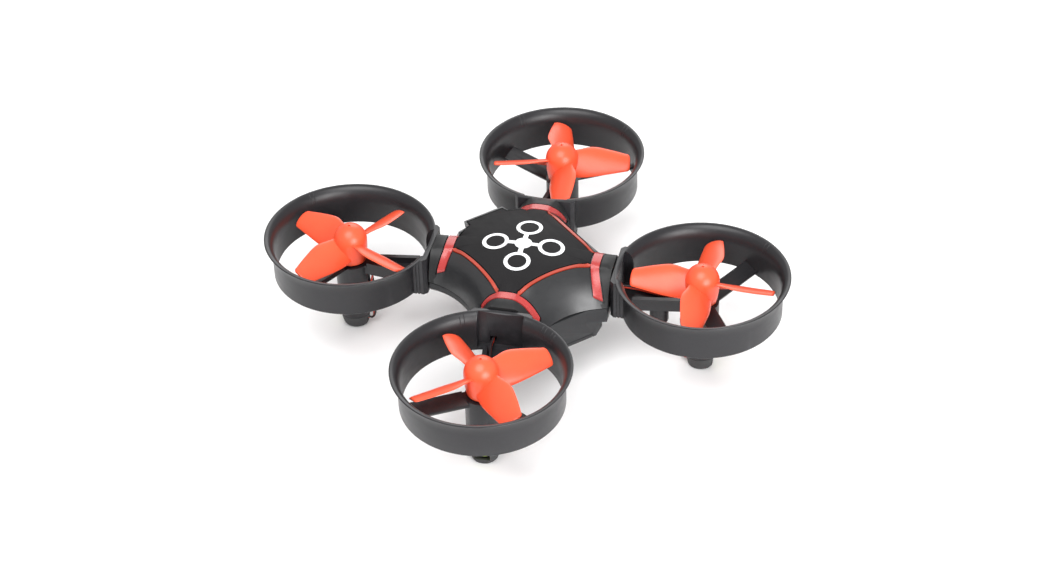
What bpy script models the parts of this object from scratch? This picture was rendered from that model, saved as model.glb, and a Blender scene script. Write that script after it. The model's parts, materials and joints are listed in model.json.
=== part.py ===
"""Mini palm drone: four ducted rotors clipped to an X-shaped body.

Frame: +Z up, origin on the floor under the body's centre, +Y towards the nose, +X to the right.
Every size below is in metres, written as millimetres times MM.
"""

import math

import bmesh
import bpy
from mathutils import Matrix, Vector

MM = 0.001

# Driving dimensions ---------------------------------------------------------------------------
ROTOR_HALF_SPACING = 28.0 * MM  # rotor axes stand at (+-, +-) this distance
DUCT_BASE_Z = 15.3 * MM  # bottom edge of the duct walls, above the floor
DUCT_HEIGHT = 9.2 * MM
DUCT_RADIUS = 17.5 * MM  # outside of the straight wall
DUCT_WALL = 0.7 * MM
LIP_RADIUS = 19.1 * MM  # outside of the flared lip
FLARE_HEIGHT = 3.6 * MM
PROP_RADIUS = 15.8 * MM
BLADES = 4
HUB_RADIUS = 3.75 * MM
MOTOR_RADIUS = 3.0 * MM
MOTOR_LENGTH = 13.4 * MM
SHAFT_RADIUS = 0.4 * MM
GAP = 0.15 * MM  # between pieces that only touch

# Body outlines, measured along an arm (reach) and across it (half) ------------------------------
ARM_REACH = 20.2 * MM
ARM_TOP_HALF = 2.65 * MM
SIDE_BASE_HALF, FRONT_BASE_HALF, REAR_BASE_HALF = 6.2 * MM, 7.0 * MM, 8.0 * MM  # an arm's half widths at its foot
BAND_INNER_REACH = 15.5 * MM
BAND_OUTER_REACH = 17.6 * MM
SIDE_TOP_VERTEX = 12.35 * MM  # how near the left and right edges of the deck come to the centre
SIDE_BASE_VERTEX = 15.8 * MM
REAR_TOP_VERTEX = 11.95 * MM
REAR_BASE_VERTEX = 17.4 * MM
NOSE_Y = 17.0 * MM
NOSE_HALF = 5.0 * MM
DECK_CROWN = 1.9 * MM  # how much the deck's middle stands over its corners
DECK_EDGE_Z = DUCT_BASE_Z + 9.9 * MM
PARTING_Z = DUCT_BASE_Z + 3.0 * MM
SHELL_WALL = 0.9 * MM

# Battery bay ------------------------------------------------------------------------------------
BAY_HALF = 8.6 * MM
BAY_FLOOR_HALF = 7.0 * MM
BAY_REAR_Y = -17.9 * MM
BAY_FRONT_Y = 16.4 * MM
BAY_Z = DUCT_BASE_Z - 5.0 * MM
BAY_WALL = 1.0 * MM

ARM_AXIS_REACH = ROTOR_HALF_SPACING * math.sqrt(2)
SCREW_REACH, SCREW_OFFSET = 17.4 * MM, 1.3 * MM
LEAD_OFFSET = -1.9 * MM
LEAD_RADIUS = 0.5 * MM
LEAD_Z = DUCT_BASE_Z + 1.9 * MM

# name: (direction of the arm in degrees, +1 where the rotor turns anticlockwise, blade angle at rest)
ARMS = {
    "front_left": (135, -1, 16),
    "front_right": (45, 1, 57),
    "rear_left": (225, 1, -6),
    "rear_right": (315, -1, 44),
}

PAINTS = {
    "shell_black": ((0.030, 0.031, 0.033), 0.42, 0.0),
    "duct_black": ((0.035, 0.035, 0.038), 0.48, 0.0),
    "deck_matte": ((0.026, 0.027, 0.028), 0.75, 0.0),
    "accent_red": ((0.62, 0.05, 0.045), 0.45, 0.0),
    "prop_orange": ((0.86, 0.13, 0.045), 0.42, 0.0),
    "steel": ((0.62, 0.62, 0.64), 0.28, 1.0),
    "cap_lime": ((0.45, 0.62, 0.08), 0.45, 0.0),
    "rubber": ((0.02, 0.02, 0.021), 0.8, 0.0),
    "lead_red": ((0.55, 0.03, 0.02), 0.5, 0.0),
    "board_green": ((0.01, 0.10, 0.035), 0.5, 0.0),
    "chip_black": ((0.015, 0.015, 0.016), 0.5, 0.0),
    "led_clear": ((0.85, 0.85, 0.80), 0.2, 0.0),
    "cell_silver": ((0.50, 0.51, 0.53), 0.4, 0.3),
    "nylon_white": ((0.80, 0.79, 0.74), 0.55, 0.0),
}


# Scene helpers ----------------------------------------------------------------------------------
def clear_scene():
    for obj in list(bpy.data.objects):
        bpy.data.objects.remove(obj)


def collection(name):
    made = bpy.data.collections.new(name)
    bpy.context.scene.collection.children.link(made)
    return made


def paint(name):
    made = bpy.data.materials.get(name)
    if made is None:
        color, roughness, metallic = PAINTS[name]
        made = bpy.data.materials.new(name)
        made.use_nodes = True
        shader = made.node_tree.nodes["Principled BSDF"]
        shader.inputs["Base Color"].default_value = (*color, 1.0)
        shader.inputs["Roughness"].default_value = roughness
        shader.inputs["Metallic"].default_value = metallic
    return made


def object_of(mesh, name="form"):
    made = bpy.data.objects.new(name, mesh)
    PARTS.objects.link(made)
    return made


def object_of_bmesh(bm, name="form"):
    bmesh.ops.recalc_face_normals(bm, faces=bm.faces)
    mesh = bpy.data.meshes.new(name)
    bm.to_mesh(mesh)
    bm.free()
    return object_of(mesh, name)


def evaluated_mesh(obj):
    """The object's mesh with its modifiers applied, in the object's own space, with its seams welded."""
    bpy.context.view_layer.update()
    graph = bpy.context.evaluated_depsgraph_get()
    mesh = bpy.data.meshes.new_from_object(obj.evaluated_get(graph))
    bm = bmesh.new()
    bm.from_mesh(mesh)
    bmesh.ops.remove_doubles(bm, verts=bm.verts, dist=0.0001 * MM)
    bm.to_mesh(mesh)
    bm.free()
    return mesh


def baked(obj):
    """A plain mesh object that takes the place of a curve or of an object with modifiers."""
    made = object_of(evaluated_mesh(obj), obj.name)
    made.matrix_world = obj.matrix_world.copy()
    bpy.data.objects.remove(obj)
    return made


def combined(base, *steps, solver="EXACT"):
    """base with each (operation, object) of steps applied to it by a Boolean, as one plain mesh object."""
    for operation, other in steps:
        modifier = base.modifiers.new(operation.lower(), "BOOLEAN")
        modifier.operation = operation
        modifier.object = other
        modifier.solver = solver
    made = baked(base)
    for _, other in steps:
        bpy.data.objects.remove(other)
    return made


def finish(obj, name, material, smooth_degrees=35):
    obj.name = name
    obj.data.name = name
    obj.data.materials.clear()
    obj.data.materials.append(paint(material))
    obj.data.shade_smooth()
    obj.data.set_sharp_from_angle(angle=math.radians(smooth_degrees))
    return obj


def placed_copy(mesh, name, matrix):
    made = object_of(mesh, name)
    made.matrix_world = matrix
    return made


# Form helpers -----------------------------------------------------------------------------------
def box(low, high, bevel=0.0):
    bm = bmesh.new()
    bmesh.ops.create_cube(bm, size=1.0)
    low, high = Vector(low), Vector(high)
    size = high - low
    bmesh.ops.transform(bm, verts=bm.verts, matrix=Matrix.Translation((low + high) / 2)
                        @ Matrix.Diagonal((*size, 1.0)))
    if bevel:
        bmesh.ops.bevel(bm, geom=bm.edges[:], offset=bevel, segments=1, affect="EDGES")
    return object_of_bmesh(bm)


def cylinder(radius, z_low, z_high, centre=(0.0, 0.0), segments=20, top_radius=None):
    bm = bmesh.new()
    bmesh.ops.create_cone(bm, cap_ends=True, segments=segments, radius1=radius,
                          radius2=radius if top_radius is None else top_radius, depth=z_high - z_low)
    middle = Vector((centre[0], centre[1], (z_low + z_high) / 2))
    bmesh.ops.translate(bm, verts=bm.verts, vec=middle)
    return object_of_bmesh(bm)


def turned(profile, segments, closed=True):
    """A profile of (radius, z) turned about Z. It runs down the outer side; closed joins its ends."""
    bm = bmesh.new()
    verts = [bm.verts.new((radius, 0.0, z)) for radius, z in profile]
    for a, b in zip(verts, verts[1:]):
        bm.edges.new((a, b))
    if closed:
        bm.edges.new((verts[-1], verts[0]))
    mesh = bpy.data.meshes.new("profile")
    bm.to_mesh(mesh)
    bm.free()
    made = object_of(mesh, "turned")
    screw = made.modifiers.new("turn", "SCREW")
    screw.steps = screw.render_steps = segments
    screw.use_merge_vertices = True
    screw.merge_threshold = 0.00001
    made = baked(made)
    bm = bmesh.new()
    bm.from_mesh(made.data)
    bmesh.ops.recalc_face_normals(bm, faces=bm.faces)
    bm.to_mesh(made.data)
    bm.free()
    return made


def extruded(outline, z_low, z_high):
    """A flat outline of (x, y) points, filled and extruded from z_low to z_high."""
    curve = bpy.data.curves.new("outline", "CURVE")
    curve.dimensions = "2D"
    curve.fill_mode = "BOTH"
    curve.extrude = (z_high - z_low) / 2
    spline = curve.splines.new("POLY")
    spline.points.add(len(outline) - 1)
    for point, (x, y) in zip(spline.points, outline):
        point.co = (x, y, 0.0, 1.0)
    spline.use_cyclic_u = True
    made = object_of(curve, "extruded")
    made.location.z = (z_high + z_low) / 2
    bpy.context.view_layer.update()
    made = baked(made)
    made.data.transform(made.matrix_world)
    made.matrix_world = Matrix.Identity(4)
    return made


def smooth_path(points, per_span=4):
    """A Catmull-Rom curve through points, sampled per_span times between each pair."""
    padded = [points[0], *points, points[-1]]
    path = []
    for p0, p1, p2, p3 in zip(padded, padded[1:], padded[2:], padded[3:]):
        for i in range(per_span):
            t = i / per_span
            path.append(0.5 * (2 * p1 + (p2 - p0) * t + (2 * p0 - 5 * p1 + 4 * p2 - p3) * t * t
                               + (3 * p1 - p0 - 3 * p2 + p3) * t * t * t))
    return [*path, points[-1]]


def tube(points, radius):
    curve = bpy.data.curves.new("tube", "CURVE")
    curve.dimensions = "3D"
    curve.bevel_depth = radius
    curve.bevel_resolution = 2
    curve.use_fill_caps = True
    spline = curve.splines.new("POLY")
    spline.points.add(len(points) - 1)
    for point, co in zip(spline.points, points):
        point.co = (*co, 1.0)
    return baked(object_of(curve, "tube"))


def on_arm(direction, reach, across, z=0.0):
    """A point given by its distance along an arm and across it, to the arm's left."""
    a = math.radians(direction)
    x = reach * math.cos(a) - across * math.sin(a)
    y = reach * math.sin(a) + across * math.cos(a)
    return Vector((x, y, z))


def arm_matrix(direction):
    """The frame of a duct: origin on the rotor's axis at the floor, +X away from the body."""
    return Matrix.Translation(on_arm(direction, ARM_AXIS_REACH, 0.0)) @ Matrix.Rotation(
        math.radians(direction), 4, "Z")


# Canopy outlines --------------------------------------------------------------------------------
def arc_through(end, vertex, count):
    """count points from (x, -y) to (x, y) of end on the circle that also passes (vertex, 0)."""
    end_x, end_y = end
    rise = end_x - vertex
    if abs(rise) < 1e-6:
        return [(vertex, end_y * (2 * i / (count - 1) - 1)) for i in range(count)]
    radius = (end_y * end_y + rise * rise) / (2 * rise)
    swing = math.asin(end_y / abs(radius))
    middle = vertex + radius
    angles = [swing * (2 * i / (count - 1) - 1) for i in range(count)]
    return [(middle - radius * math.cos(a), abs(radius) * math.sin(a)) for a in angles]


def side_top(vertex, nose=False):
    """The deck's edge on the side that faces +X, from the arm at -45 degrees to the arm at +45."""
    c = math.sqrt(0.5)
    straight = [((d + ARM_TOP_HALF) * c, (d - ARM_TOP_HALF) * c)
                for d in (ARM_REACH, BAND_OUTER_REACH, BAND_INNER_REACH)]
    if nose:
        x, y = straight[-1]
        inner = [(NOSE_Y - 2.5 * MM, -NOSE_HALF - 0.7 * MM), (NOSE_Y, -NOSE_HALF), (NOSE_Y, 0.0)]
        inner += [(px, -py) for px, py in inner[-2::-1]]
    else:
        inner = arc_through(straight[-1], vertex, 7)[1:-1]
    return [(x, -y) for x, y in straight] + inner + straight[::-1]


def side_base(vertex, half):
    """The canopy's bottom edge on the same side, with as many points as side_top."""
    c = math.sqrt(0.5)
    end = ((ARM_REACH + half) * c, (ARM_REACH - half) * c)
    rise = end[0] - vertex
    radius = (end[1] ** 2 + rise**2) / (2 * rise)
    swing = math.asin(end[1] / radius)
    shares = [1.0, 0.89, 0.70, 0.48, 0.25, 0.0]
    shares = [-s for s in shares] + shares[-2::-1]
    return [(vertex + radius - radius * math.cos(swing * s), radius * math.sin(swing * s)) for s in shares]


def turned_side(points, quarter):
    a = math.radians(90 * quarter)
    return [(x * math.cos(a) - y * math.sin(a), x * math.sin(a) + y * math.cos(a)) for x, y in points]


def canopy_outlines():
    """(bottom edge, deck edge) as matching closed lists of points: right side, nose, left side, rear."""
    base, top = [], []
    sides = ((SIDE_TOP_VERTEX, SIDE_BASE_VERTEX, SIDE_BASE_HALF), (NOSE_Y, NOSE_Y, FRONT_BASE_HALF),
             (SIDE_TOP_VERTEX, SIDE_BASE_VERTEX, SIDE_BASE_HALF), (REAR_TOP_VERTEX, REAR_BASE_VERTEX, REAR_BASE_HALF))
    for quarter, (top_vertex, base_vertex, half) in enumerate(sides):
        base += turned_side(side_base(base_vertex, half), quarter)
        top += turned_side(side_top(top_vertex, quarter == 1), quarter)
    return base, top


def deck_z(x, y):
    corner = BAND_INNER_REACH**2 + ARM_TOP_HALF**2
    nose_drop = 0.4 * MM * max(0.0, (y - 12.5 * MM) / (NOSE_Y - 12.5 * MM)) if abs(x) < NOSE_HALF * 1.3 else 0.0
    return DECK_EDGE_Z + DECK_CROWN * max(0.0, 1 - (x * x + y * y) / corner) - nose_drop


MID_SHARE, MID_BULGE, MID_Z_SHARE = 0.5, 0.4 * MM, 0.58


def canopy_rings():
    """Rings of 3D points from the bottom edge up over the skirt to the deck's edge and its middle."""
    base, top = canopy_outlines()
    bottom = [Vector((x, y, PARTING_Z)) for x, y in base]
    edge = [Vector((x, y, deck_z(x, y))) for x, y in top]
    per_side = len(base) // 4
    middle = []
    for i, (low, high) in enumerate(zip(bottom, edge)):
        facing = 90 * (i // per_side)
        if i % per_side == 0:
            facing += 45
        elif i % per_side == per_side - 1:
            facing -= 45
        point = low.lerp(high, MID_SHARE)
        point += Vector((math.cos(math.radians(facing)), math.sin(math.radians(facing)), 0.0)) * MID_BULGE
        point.z = low.z + (high.z - low.z) * MID_Z_SHARE
        middle.append(point)
    inner = []
    for share in (0.5,):
        inner.append([Vector((p.x * share, p.y * share, deck_z(p.x * share, p.y * share))) for p in edge])
    return [bottom, middle, edge, *inner]


def canopy_surface():
    bm = bmesh.new()
    rings = [[bm.verts.new(p) for p in ring] for ring in canopy_rings()]
    count = len(rings[0])
    for lower, upper in zip(rings, rings[1:]):
        for i in range(count):
            j = (i + 1) % count
            bm.faces.new((lower[i], lower[j], upper[j], upper[i]))
    crown = bm.verts.new((0.0, 0.0, deck_z(0.0, 0.0)))
    for i in range(count):
        bm.faces.new((rings[-1][i], rings[-1][(i + 1) % count], crown))
    bmesh.ops.triangulate(bm, faces=bm.faces)
    mesh = bpy.data.meshes.new("canopy")
    bm.to_mesh(mesh)
    bm.free()
    return object_of(mesh, "canopy")


# Body pieces ------------------------------------------------------------------------------------
TRIM_LOW, TRIM_HIGH = 0.04 * MM, 0.34 * MM
LINE_WIDTH, LINE_MARGIN = 0.85 * MM, 0.15 * MM
# Where a leg of the red band ends, (inner reach, outer reach, across) in millimetres, by the side that it faces
LEG_SIDE, LEG_FRONT, LEG_REAR = (16.4, 18.5, 5.75), (16.8, 18.9, 6.5), (16.9, 19.3, 7.5)


def band_outline(first, last):
    """(reach, across) of one arm's band, from its right inner corner round to its left one."""
    return ((15.4, -2.8), (first[0], -first[2]), (first[1], -first[2]), (17.5, -2.45),
            (17.5, 2.45), (last[1], last[2]), (last[0], last[2]), (15.4, 2.8))


def layer(low, high):
    """The part of space between two offsets from the canopy's outside."""
    made = canopy_surface()
    solidify = made.modifiers.new("layer", "SOLIDIFY")
    solidify.thickness = high - low
    solidify.offset = (high + low) / (high - low)
    solidify.use_even_offset = True
    return baked(made)


def edge_line(quarter, depth):
    """The curve that runs depth inside the deck's edge on a side, from arm to arm."""
    if quarter == 1:
        side = [(NOSE_Y - 2.3 * MM, -NOSE_HALF + 0.3 * MM), (NOSE_Y - 1.2 * MM, -NOSE_HALF + 0.7 * MM)]
        side += [(x, -y) for x, y in side[::-1]]
    else:
        vertex = REAR_TOP_VERTEX if quarter == 3 else SIDE_TOP_VERTEX
        side = arc_through((12.87 * MM - depth, 9.0 * MM), vertex - depth, 5)
    return turned_side(side, quarter)


def frame_outline():
    outline = []
    legs = ((LEG_SIDE, LEG_FRONT), (LEG_FRONT, LEG_SIDE), (LEG_SIDE, LEG_REAR), (LEG_REAR, LEG_SIDE))
    for quarter, (direction, ends) in enumerate(zip((45, 135, 225, 315), legs)):
        outline += edge_line(quarter, LINE_MARGIN)
        outline += [tuple(on_arm(direction, r * MM, c * MM)[:2]) for r, c in band_outline(*ends)]
    return outline


def panel_outline():
    outline = []
    for quarter, direction in enumerate((45, 135, 225, 315)):
        outline += edge_line(quarter, LINE_MARGIN + (0.0 if quarter == 1 else LINE_WIDTH))
        outline += [tuple(on_arm(direction, 15.3 * MM, c * MM)[:2]) for c in (-2.0, 2.0)]
    return outline


def make_upper_shell():
    steps = []
    for direction, hand, _ in ARMS.values():
        post = on_arm(direction, SCREW_REACH, hand * SCREW_OFFSET)
        steps.append(("UNION", cylinder(1.3 * MM, PARTING_Z + GAP, DECK_EDGE_Z - 0.7 * MM, post[:2], 14)))
    for direction, hand, _ in ARMS.values():
        post = on_arm(direction, SCREW_REACH, hand * SCREW_OFFSET)
        steps.append(("DIFFERENCE", cylinder(0.62 * MM, PARTING_Z - 1 * MM, PARTING_Z + 5 * MM, post[:2], 10)))
    below = box((-30 * MM, -30 * MM, PARTING_Z - 3 * MM), (30 * MM, 30 * MM, PARTING_Z))
    steps.append(("DIFFERENCE", below))
    finish(combined(layer(-SHELL_WALL, 0.0), *steps), "upper_shell", "shell_black")


def make_trim():
    panel = extruded(inset(panel_outline(), 0.05 * MM), PARTING_Z - 1 * MM, DECK_EDGE_Z + 4 * MM)
    laid = combined(panel, ("INTERSECT", layer(TRIM_LOW, TRIM_HIGH)), solver="MANIFOLD")
    finish(laid, "top_panel", "deck_matte")
    frame = extruded(frame_outline(), PARTING_Z - 1 * MM, DECK_EDGE_Z + 4 * MM)
    hole = extruded(inset(panel_outline(), -0.08 * MM), PARTING_Z - 2 * MM, DECK_EDGE_Z + 5 * MM)
    nose_cut = box((-7 * MM, 12 * MM, PARTING_Z - 2 * MM), (7 * MM, 20 * MM, DECK_EDGE_Z + 5 * MM))
    steps = (("DIFFERENCE", hole), ("DIFFERENCE", nose_cut), ("INTERSECT", layer(TRIM_LOW, TRIM_HIGH)))
    finish(combined(frame, *steps, solver="MANIFOLD"), "accent_frame", "accent_red")


def inset(points, distance):
    """A closed outline moved inwards along its points' normals."""
    moved = []
    count = len(points)
    for i, (x, y) in enumerate(points):
        before, after = Vector(points[i - 1]), Vector(points[(i + 1) % count])
        here = Vector((x, y))
        first, second = (here - before).normalized(), (after - here).normalized()
        normal = Vector((first.y + second.y, -first.x - second.x)).normalized()
        stretch = max(0.5, normal.dot(Vector((first.y, -first.x))))
        moved.append(tuple(here - normal * distance / stretch))
    return moved


def bay_prism(half, floor_half, rear, front, floor, top, chamfer):
    """The battery bay: a long box with its two lower long edges cut off."""
    bm = bmesh.new()
    section = [(-half, top), (-half, floor + chamfer), (-floor_half, floor),
               (floor_half, floor), (half, floor + chamfer), (half, top)]
    ends = [[bm.verts.new((x, y, z)) for x, z in section] for y in (rear, front)]
    for i in range(6):
        j = (i + 1) % 6
        bm.faces.new((ends[0][i], ends[0][j], ends[1][j], ends[1][i]))
    for end in ends:
        bm.faces.new(end)
    return object_of_bmesh(bm, "bay")


HATCH_REAR_Y, HATCH_FRONT_Y, HATCH_HALF = BAY_REAR_Y, 9.4 * MM, 6.2 * MM
SWITCH_Y = 13.0 * MM


UNDERCUT = 2.8 * MM  # how far in the tray's underside starts on the left, right and front
BEND_Z = DUCT_BASE_Z + 1.4 * MM  # where the tray's sides turn in


def tray_body(shrink, low, bend, high):
    """The tray under the canopy: upright sides down to bend, then turning in to its underside."""
    base, _ = canopy_outlines()
    outer = inset(base, 0.1 * MM + shrink)
    under = inset(base, 0.1 * MM + shrink + UNDERCUT)
    per_side = len(base) // 4
    for i in range(per_side * 3, per_side * 4):
        under[i] = outer[i]
    halves = (SIDE_BASE_HALF, FRONT_BASE_HALF, SIDE_BASE_HALF, REAR_BASE_HALF)
    for quarter, half in enumerate(halves):
        narrow = half - shrink * 1.4 - (0.0 if quarter == 3 else UNDERCUT * 0.8)
        for i, direction, sign in ((0, 90 * quarter - 45, 1), (per_side - 1, 90 * quarter + 45, -1)):
            under[quarter * per_side + i] = tuple(on_arm(direction, ARM_REACH - 0.1 * MM - shrink, sign * narrow)[:2])
    bm = bmesh.new()
    rings = [[bm.verts.new((x, y, z)) for x, y in ring] for ring, z in ((under, low), (outer, bend), (outer, high))]
    count = len(base)
    for lower, upper in zip(rings, rings[1:]):
        for i in range(count):
            j = (i + 1) % count
            bm.faces.new((lower[i], lower[j], upper[j], upper[i]))
    bm.faces.new(rings[0])
    bm.faces.new(rings[-1])
    bmesh.ops.triangulate(bm, faces=bm.faces)
    return object_of_bmesh(bm, "tray")


def make_lower_shell():
    tray_z = DUCT_BASE_Z - 0.7 * MM
    rim_z = PARTING_Z - GAP
    tray = tray_body(0.0, tray_z, BEND_Z, rim_z)
    outer = bay_prism(BAY_HALF, BAY_FLOOR_HALF, BAY_REAR_Y, BAY_FRONT_Y, BAY_Z, rim_z, 2.0 * MM)
    tray_hollow = tray_body(1.0 * MM, tray_z + 1.0 * MM, BEND_Z + 0.5 * MM, rim_z + 1 * MM)
    hollow = bay_prism(BAY_HALF - BAY_WALL, BAY_FLOOR_HALF - 0.4 * MM, BAY_REAR_Y + BAY_WALL,
                       BAY_FRONT_Y - BAY_WALL, BAY_Z + 1.15 * MM, rim_z + 1 * MM, 1.6 * MM)
    hatch_cut = box((-HATCH_HALF, HATCH_REAR_Y - 1 * MM, BAY_Z - 1 * MM),
                    (HATCH_HALF, HATCH_FRONT_Y, BAY_Z + 1.0 * MM))
    bay_mouth = box((-HATCH_HALF + 0.5 * MM, BAY_REAR_Y + 1.6 * MM, BAY_Z - 1 * MM),
                    (HATCH_HALF - 0.5 * MM, HATCH_FRONT_Y - 0.8 * MM, BAY_Z + 3 * MM))
    switch_slot = box((-2.3 * MM, SWITCH_Y - 0.75 * MM, BAY_Z - 1 * MM),
                      (2.3 * MM, SWITCH_Y + 0.75 * MM, BAY_Z + 2 * MM))
    steps = [("UNION", outer), ("DIFFERENCE", tray_hollow), ("DIFFERENCE", hollow),
             ("DIFFERENCE", hatch_cut), ("DIFFERENCE", bay_mouth), ("DIFFERENCE", switch_slot)]
    for direction, hand, _ in ARMS.values():
        steps.append(("DIFFERENCE", oriented_box(direction, ARM_REACH - 5.6 * MM, ARM_REACH + 2 * MM, 4.15 * MM,
                                                 tray_z + 1.0 * MM, rim_z + 1 * MM)))
        hole = on_arm(direction, SCREW_REACH, hand * SCREW_OFFSET)
        steps.append(("DIFFERENCE", cylinder(0.75 * MM, tray_z - 1 * MM, tray_z + 2 * MM, hole[:2], 12)))
    finish(combined(tray, *steps), "lower_shell", "shell_black")


def oriented_box(direction, reach_low, reach_high, half, z_low, z_high, across=0.0):
    made = box((reach_low, across - half, z_low), (reach_high, across + half, z_high))
    made.data.transform(Matrix.Rotation(math.radians(direction), 4, "Z"))
    return made


def make_hatch():
    panel = box((-HATCH_HALF + GAP, HATCH_REAR_Y, BAY_Z), (HATCH_HALF - GAP, HATCH_FRONT_Y - GAP, BAY_Z + 0.85 * MM))
    grips = [box((-3.0 * MM, HATCH_REAR_Y + y * MM, BAY_Z - 0.4 * MM),
                 (3.0 * MM, HATCH_REAR_Y + (y + 0.6) * MM, BAY_Z + 0.3 * MM)) for y in (2.0, 3.4, 4.8)]
    finish(combined(panel, *[("UNION", grip) for grip in grips]), "battery_hatch", "shell_black")


def make_power_switch():
    floor = BAY_Z + 1.15 * MM
    body = box((-3.6 * MM, SWITCH_Y - 1.5 * MM, floor + GAP), (3.6 * MM, SWITCH_Y + 1.5 * MM, floor + 2.2 * MM))
    slot = box((-2.3 * MM, SWITCH_Y - 0.7 * MM, floor - 1 * MM), (2.3 * MM, SWITCH_Y + 0.7 * MM, floor + 1.3 * MM))
    finish(combined(body, ("DIFFERENCE", slot)), "power_switch_body", "steel")
    knob = box((-2.1 * MM, SWITCH_Y - 0.55 * MM, BAY_Z - 0.7 * MM), (-0.5 * MM, SWITCH_Y + 0.55 * MM,
                                                                     floor + 1.1 * MM), 0.12 * MM)
    finish(knob, "power_switch_knob", "nylon_white")


# Electronics ------------------------------------------------------------------------------------
BOARD_HALF_X, BOARD_HALF_Y = 9.4 * MM, 9.6 * MM
BOARD_LOW, BOARD_HIGH = PARTING_Z + 0.25 * MM, PARTING_Z + 1.05 * MM


def make_board():
    board = box((-BOARD_HALF_X, -BOARD_HALF_Y, BOARD_LOW), (BOARD_HALF_X, BOARD_HALF_Y, BOARD_HIGH))
    lead_hole = box((-2.2 * MM, BOARD_HALF_Y - 1.6 * MM, BOARD_LOW - 1 * MM),
                    (2.2 * MM, BOARD_HALF_Y + 1 * MM, BOARD_HIGH + 1 * MM))
    finish(combined(board, ("DIFFERENCE", lead_hole)), "flight_board", "board_green")
    seat = BOARD_HIGH + 0.05 * MM
    chips = {"mcu_chip": (0.0, -1.0, 2.5, 2.5, 0.9), "radio_chip": (-5.2, -5.0, 2.0, 2.0, 0.8),
             "gyro_chip": (5.4, -4.6, 1.5, 1.5, 0.8), "motor_driver_chip": (5.0, 3.2, 1.6, 2.4, 1.0)}
    for name, (x, y, half_x, half_y, height) in chips.items():
        chip = box(((x - half_x) * MM, (y - half_y) * MM, seat), ((x + half_x) * MM, (y + half_y) * MM,
                                                                  seat + height * MM))
        finish(chip, name, "chip_black")
    crystal = box((-6.8 * MM, -1.0 * MM, seat), (-3.8 * MM, 0.6 * MM, seat + 1.3 * MM), 0.3 * MM)
    finish(crystal, "crystal_can", "steel")
    aerial_path = [Vector((-7.9, -2.6, 0)), Vector((-7.9, 1.0, 0)), Vector((-7.1, 3.3, 0)), Vector((-3.2, 3.6, 0))]
    aerial_path = [p * MM + Vector((0, 0, seat + 0.45 * MM)) for p in aerial_path]
    finish(tube(aerial_path, 0.3 * MM), "aerial_wire", "chip_black")
    for arm, (direction, hand, _) in ARMS.items():
        led = oriented_box(direction, 10.3 * MM, 11.2 * MM, 0.7 * MM, seat, seat + 0.9 * MM, hand * 1.3 * MM)
        finish(led, f"led_{arm}", "led_clear")


BATTERY_HALF, BATTERY_LOW, BATTERY_HIGH = 6.2 * MM, BAY_Z + 1.5 * MM, BAY_Z + 7.0 * MM
BATTERY_REAR, BATTERY_FRONT = -16.0 * MM, 8.4 * MM


def make_battery():
    cell = box((-BATTERY_HALF, BATTERY_REAR, BATTERY_LOW), (BATTERY_HALF, BATTERY_FRONT, BATTERY_HIGH), 0.7 * MM)
    finish(cell, "battery", "cell_silver")
    seat = BOARD_HIGH + 0.05 * MM
    socket_front = BOARD_HALF_Y - 2.0 * MM
    socket = box((-2.0 * MM, socket_front - 3.0 * MM, seat), (2.0 * MM, socket_front, seat + 2.6 * MM))
    opening = box((-1.5 * MM, socket_front - 2.2 * MM, seat + 0.5 * MM), (1.5 * MM, socket_front + 1 * MM,
                                                                        seat + 2.1 * MM))
    finish(combined(socket, ("DIFFERENCE", opening)), "battery_socket", "nylon_white")
    plug = box((-1.35 * MM, socket_front - 1.9 * MM, seat + 0.65 * MM),
               (1.35 * MM, socket_front + 1.1 * MM, seat + 1.95 * MM))
    finish(plug, "battery_plug", "nylon_white")
    mid_z = seat + 1.3 * MM
    for name, x, color in (("battery_lead_red", -0.7 * MM, "lead_red"), ("battery_lead_black", 0.7 * MM, "chip_black")):
        route = [Vector((x, BATTERY_FRONT + 0.1 * MM, BATTERY_HIGH - 1.6 * MM)),
                 Vector((x, BATTERY_FRONT + 1.2 * MM, BATTERY_HIGH - 1.0 * MM)),
                 Vector((x, BATTERY_FRONT + 2.0 * MM, BATTERY_HIGH + 1.2 * MM)),
                 Vector((x, BATTERY_FRONT + 2.2 * MM, mid_z - 0.9 * MM)),
                 Vector((x, BATTERY_FRONT + 1.5 * MM, mid_z)),
                 Vector((x, socket_front + 1.2 * MM, mid_z))]
        finish(tube(smooth_path(route, 2), 0.45 * MM), name, color)


# Duct -------------------------------------------------------------------------------------------
def flare(radius_wall, radius_lip, top_z, count=3):
    """(radius, z) points of the bell mouth from the lip down to the straight wall."""
    points = []
    for i in range(count):
        a = math.pi / 2 * i / (count - 1)
        points.append((radius_lip - (radius_lip - radius_wall) * math.sin(a),
                       top_z - FLARE_HEIGHT * (1 - math.cos(a))))
    return points


def ring():
    top = DUCT_BASE_Z + DUCT_HEIGHT
    outer = flare(DUCT_RADIUS, LIP_RADIUS, top - 0.15 * MM)
    inner = flare(DUCT_RADIUS - DUCT_WALL, LIP_RADIUS - 0.45 * MM, top)
    profile = outer + [(DUCT_RADIUS, DUCT_BASE_Z), (DUCT_RADIUS - DUCT_WALL, DUCT_BASE_Z)] + inner[::-1]
    return turned(profile, 32)


POD_RADIUS = 3.75 * MM
FOOT_FLAT = 2.65 * MM  # how far out the foot's two flat sides stand
# Plan of the bracket that meets the arm, (outwards, across) in millimetres
BRACKET_OUTLINE = ((-19.1, -6.0), (-19.1, 6.0), (-18.3, 6.8), (-15.9, 6.8), (-15.9, -6.8), (-18.3, -6.8))
POD_LOW, POD_HIGH = 3.2 * MM, DUCT_BASE_Z + 1.9 * MM
MOTOR_LOW = 3.2 * MM


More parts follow.
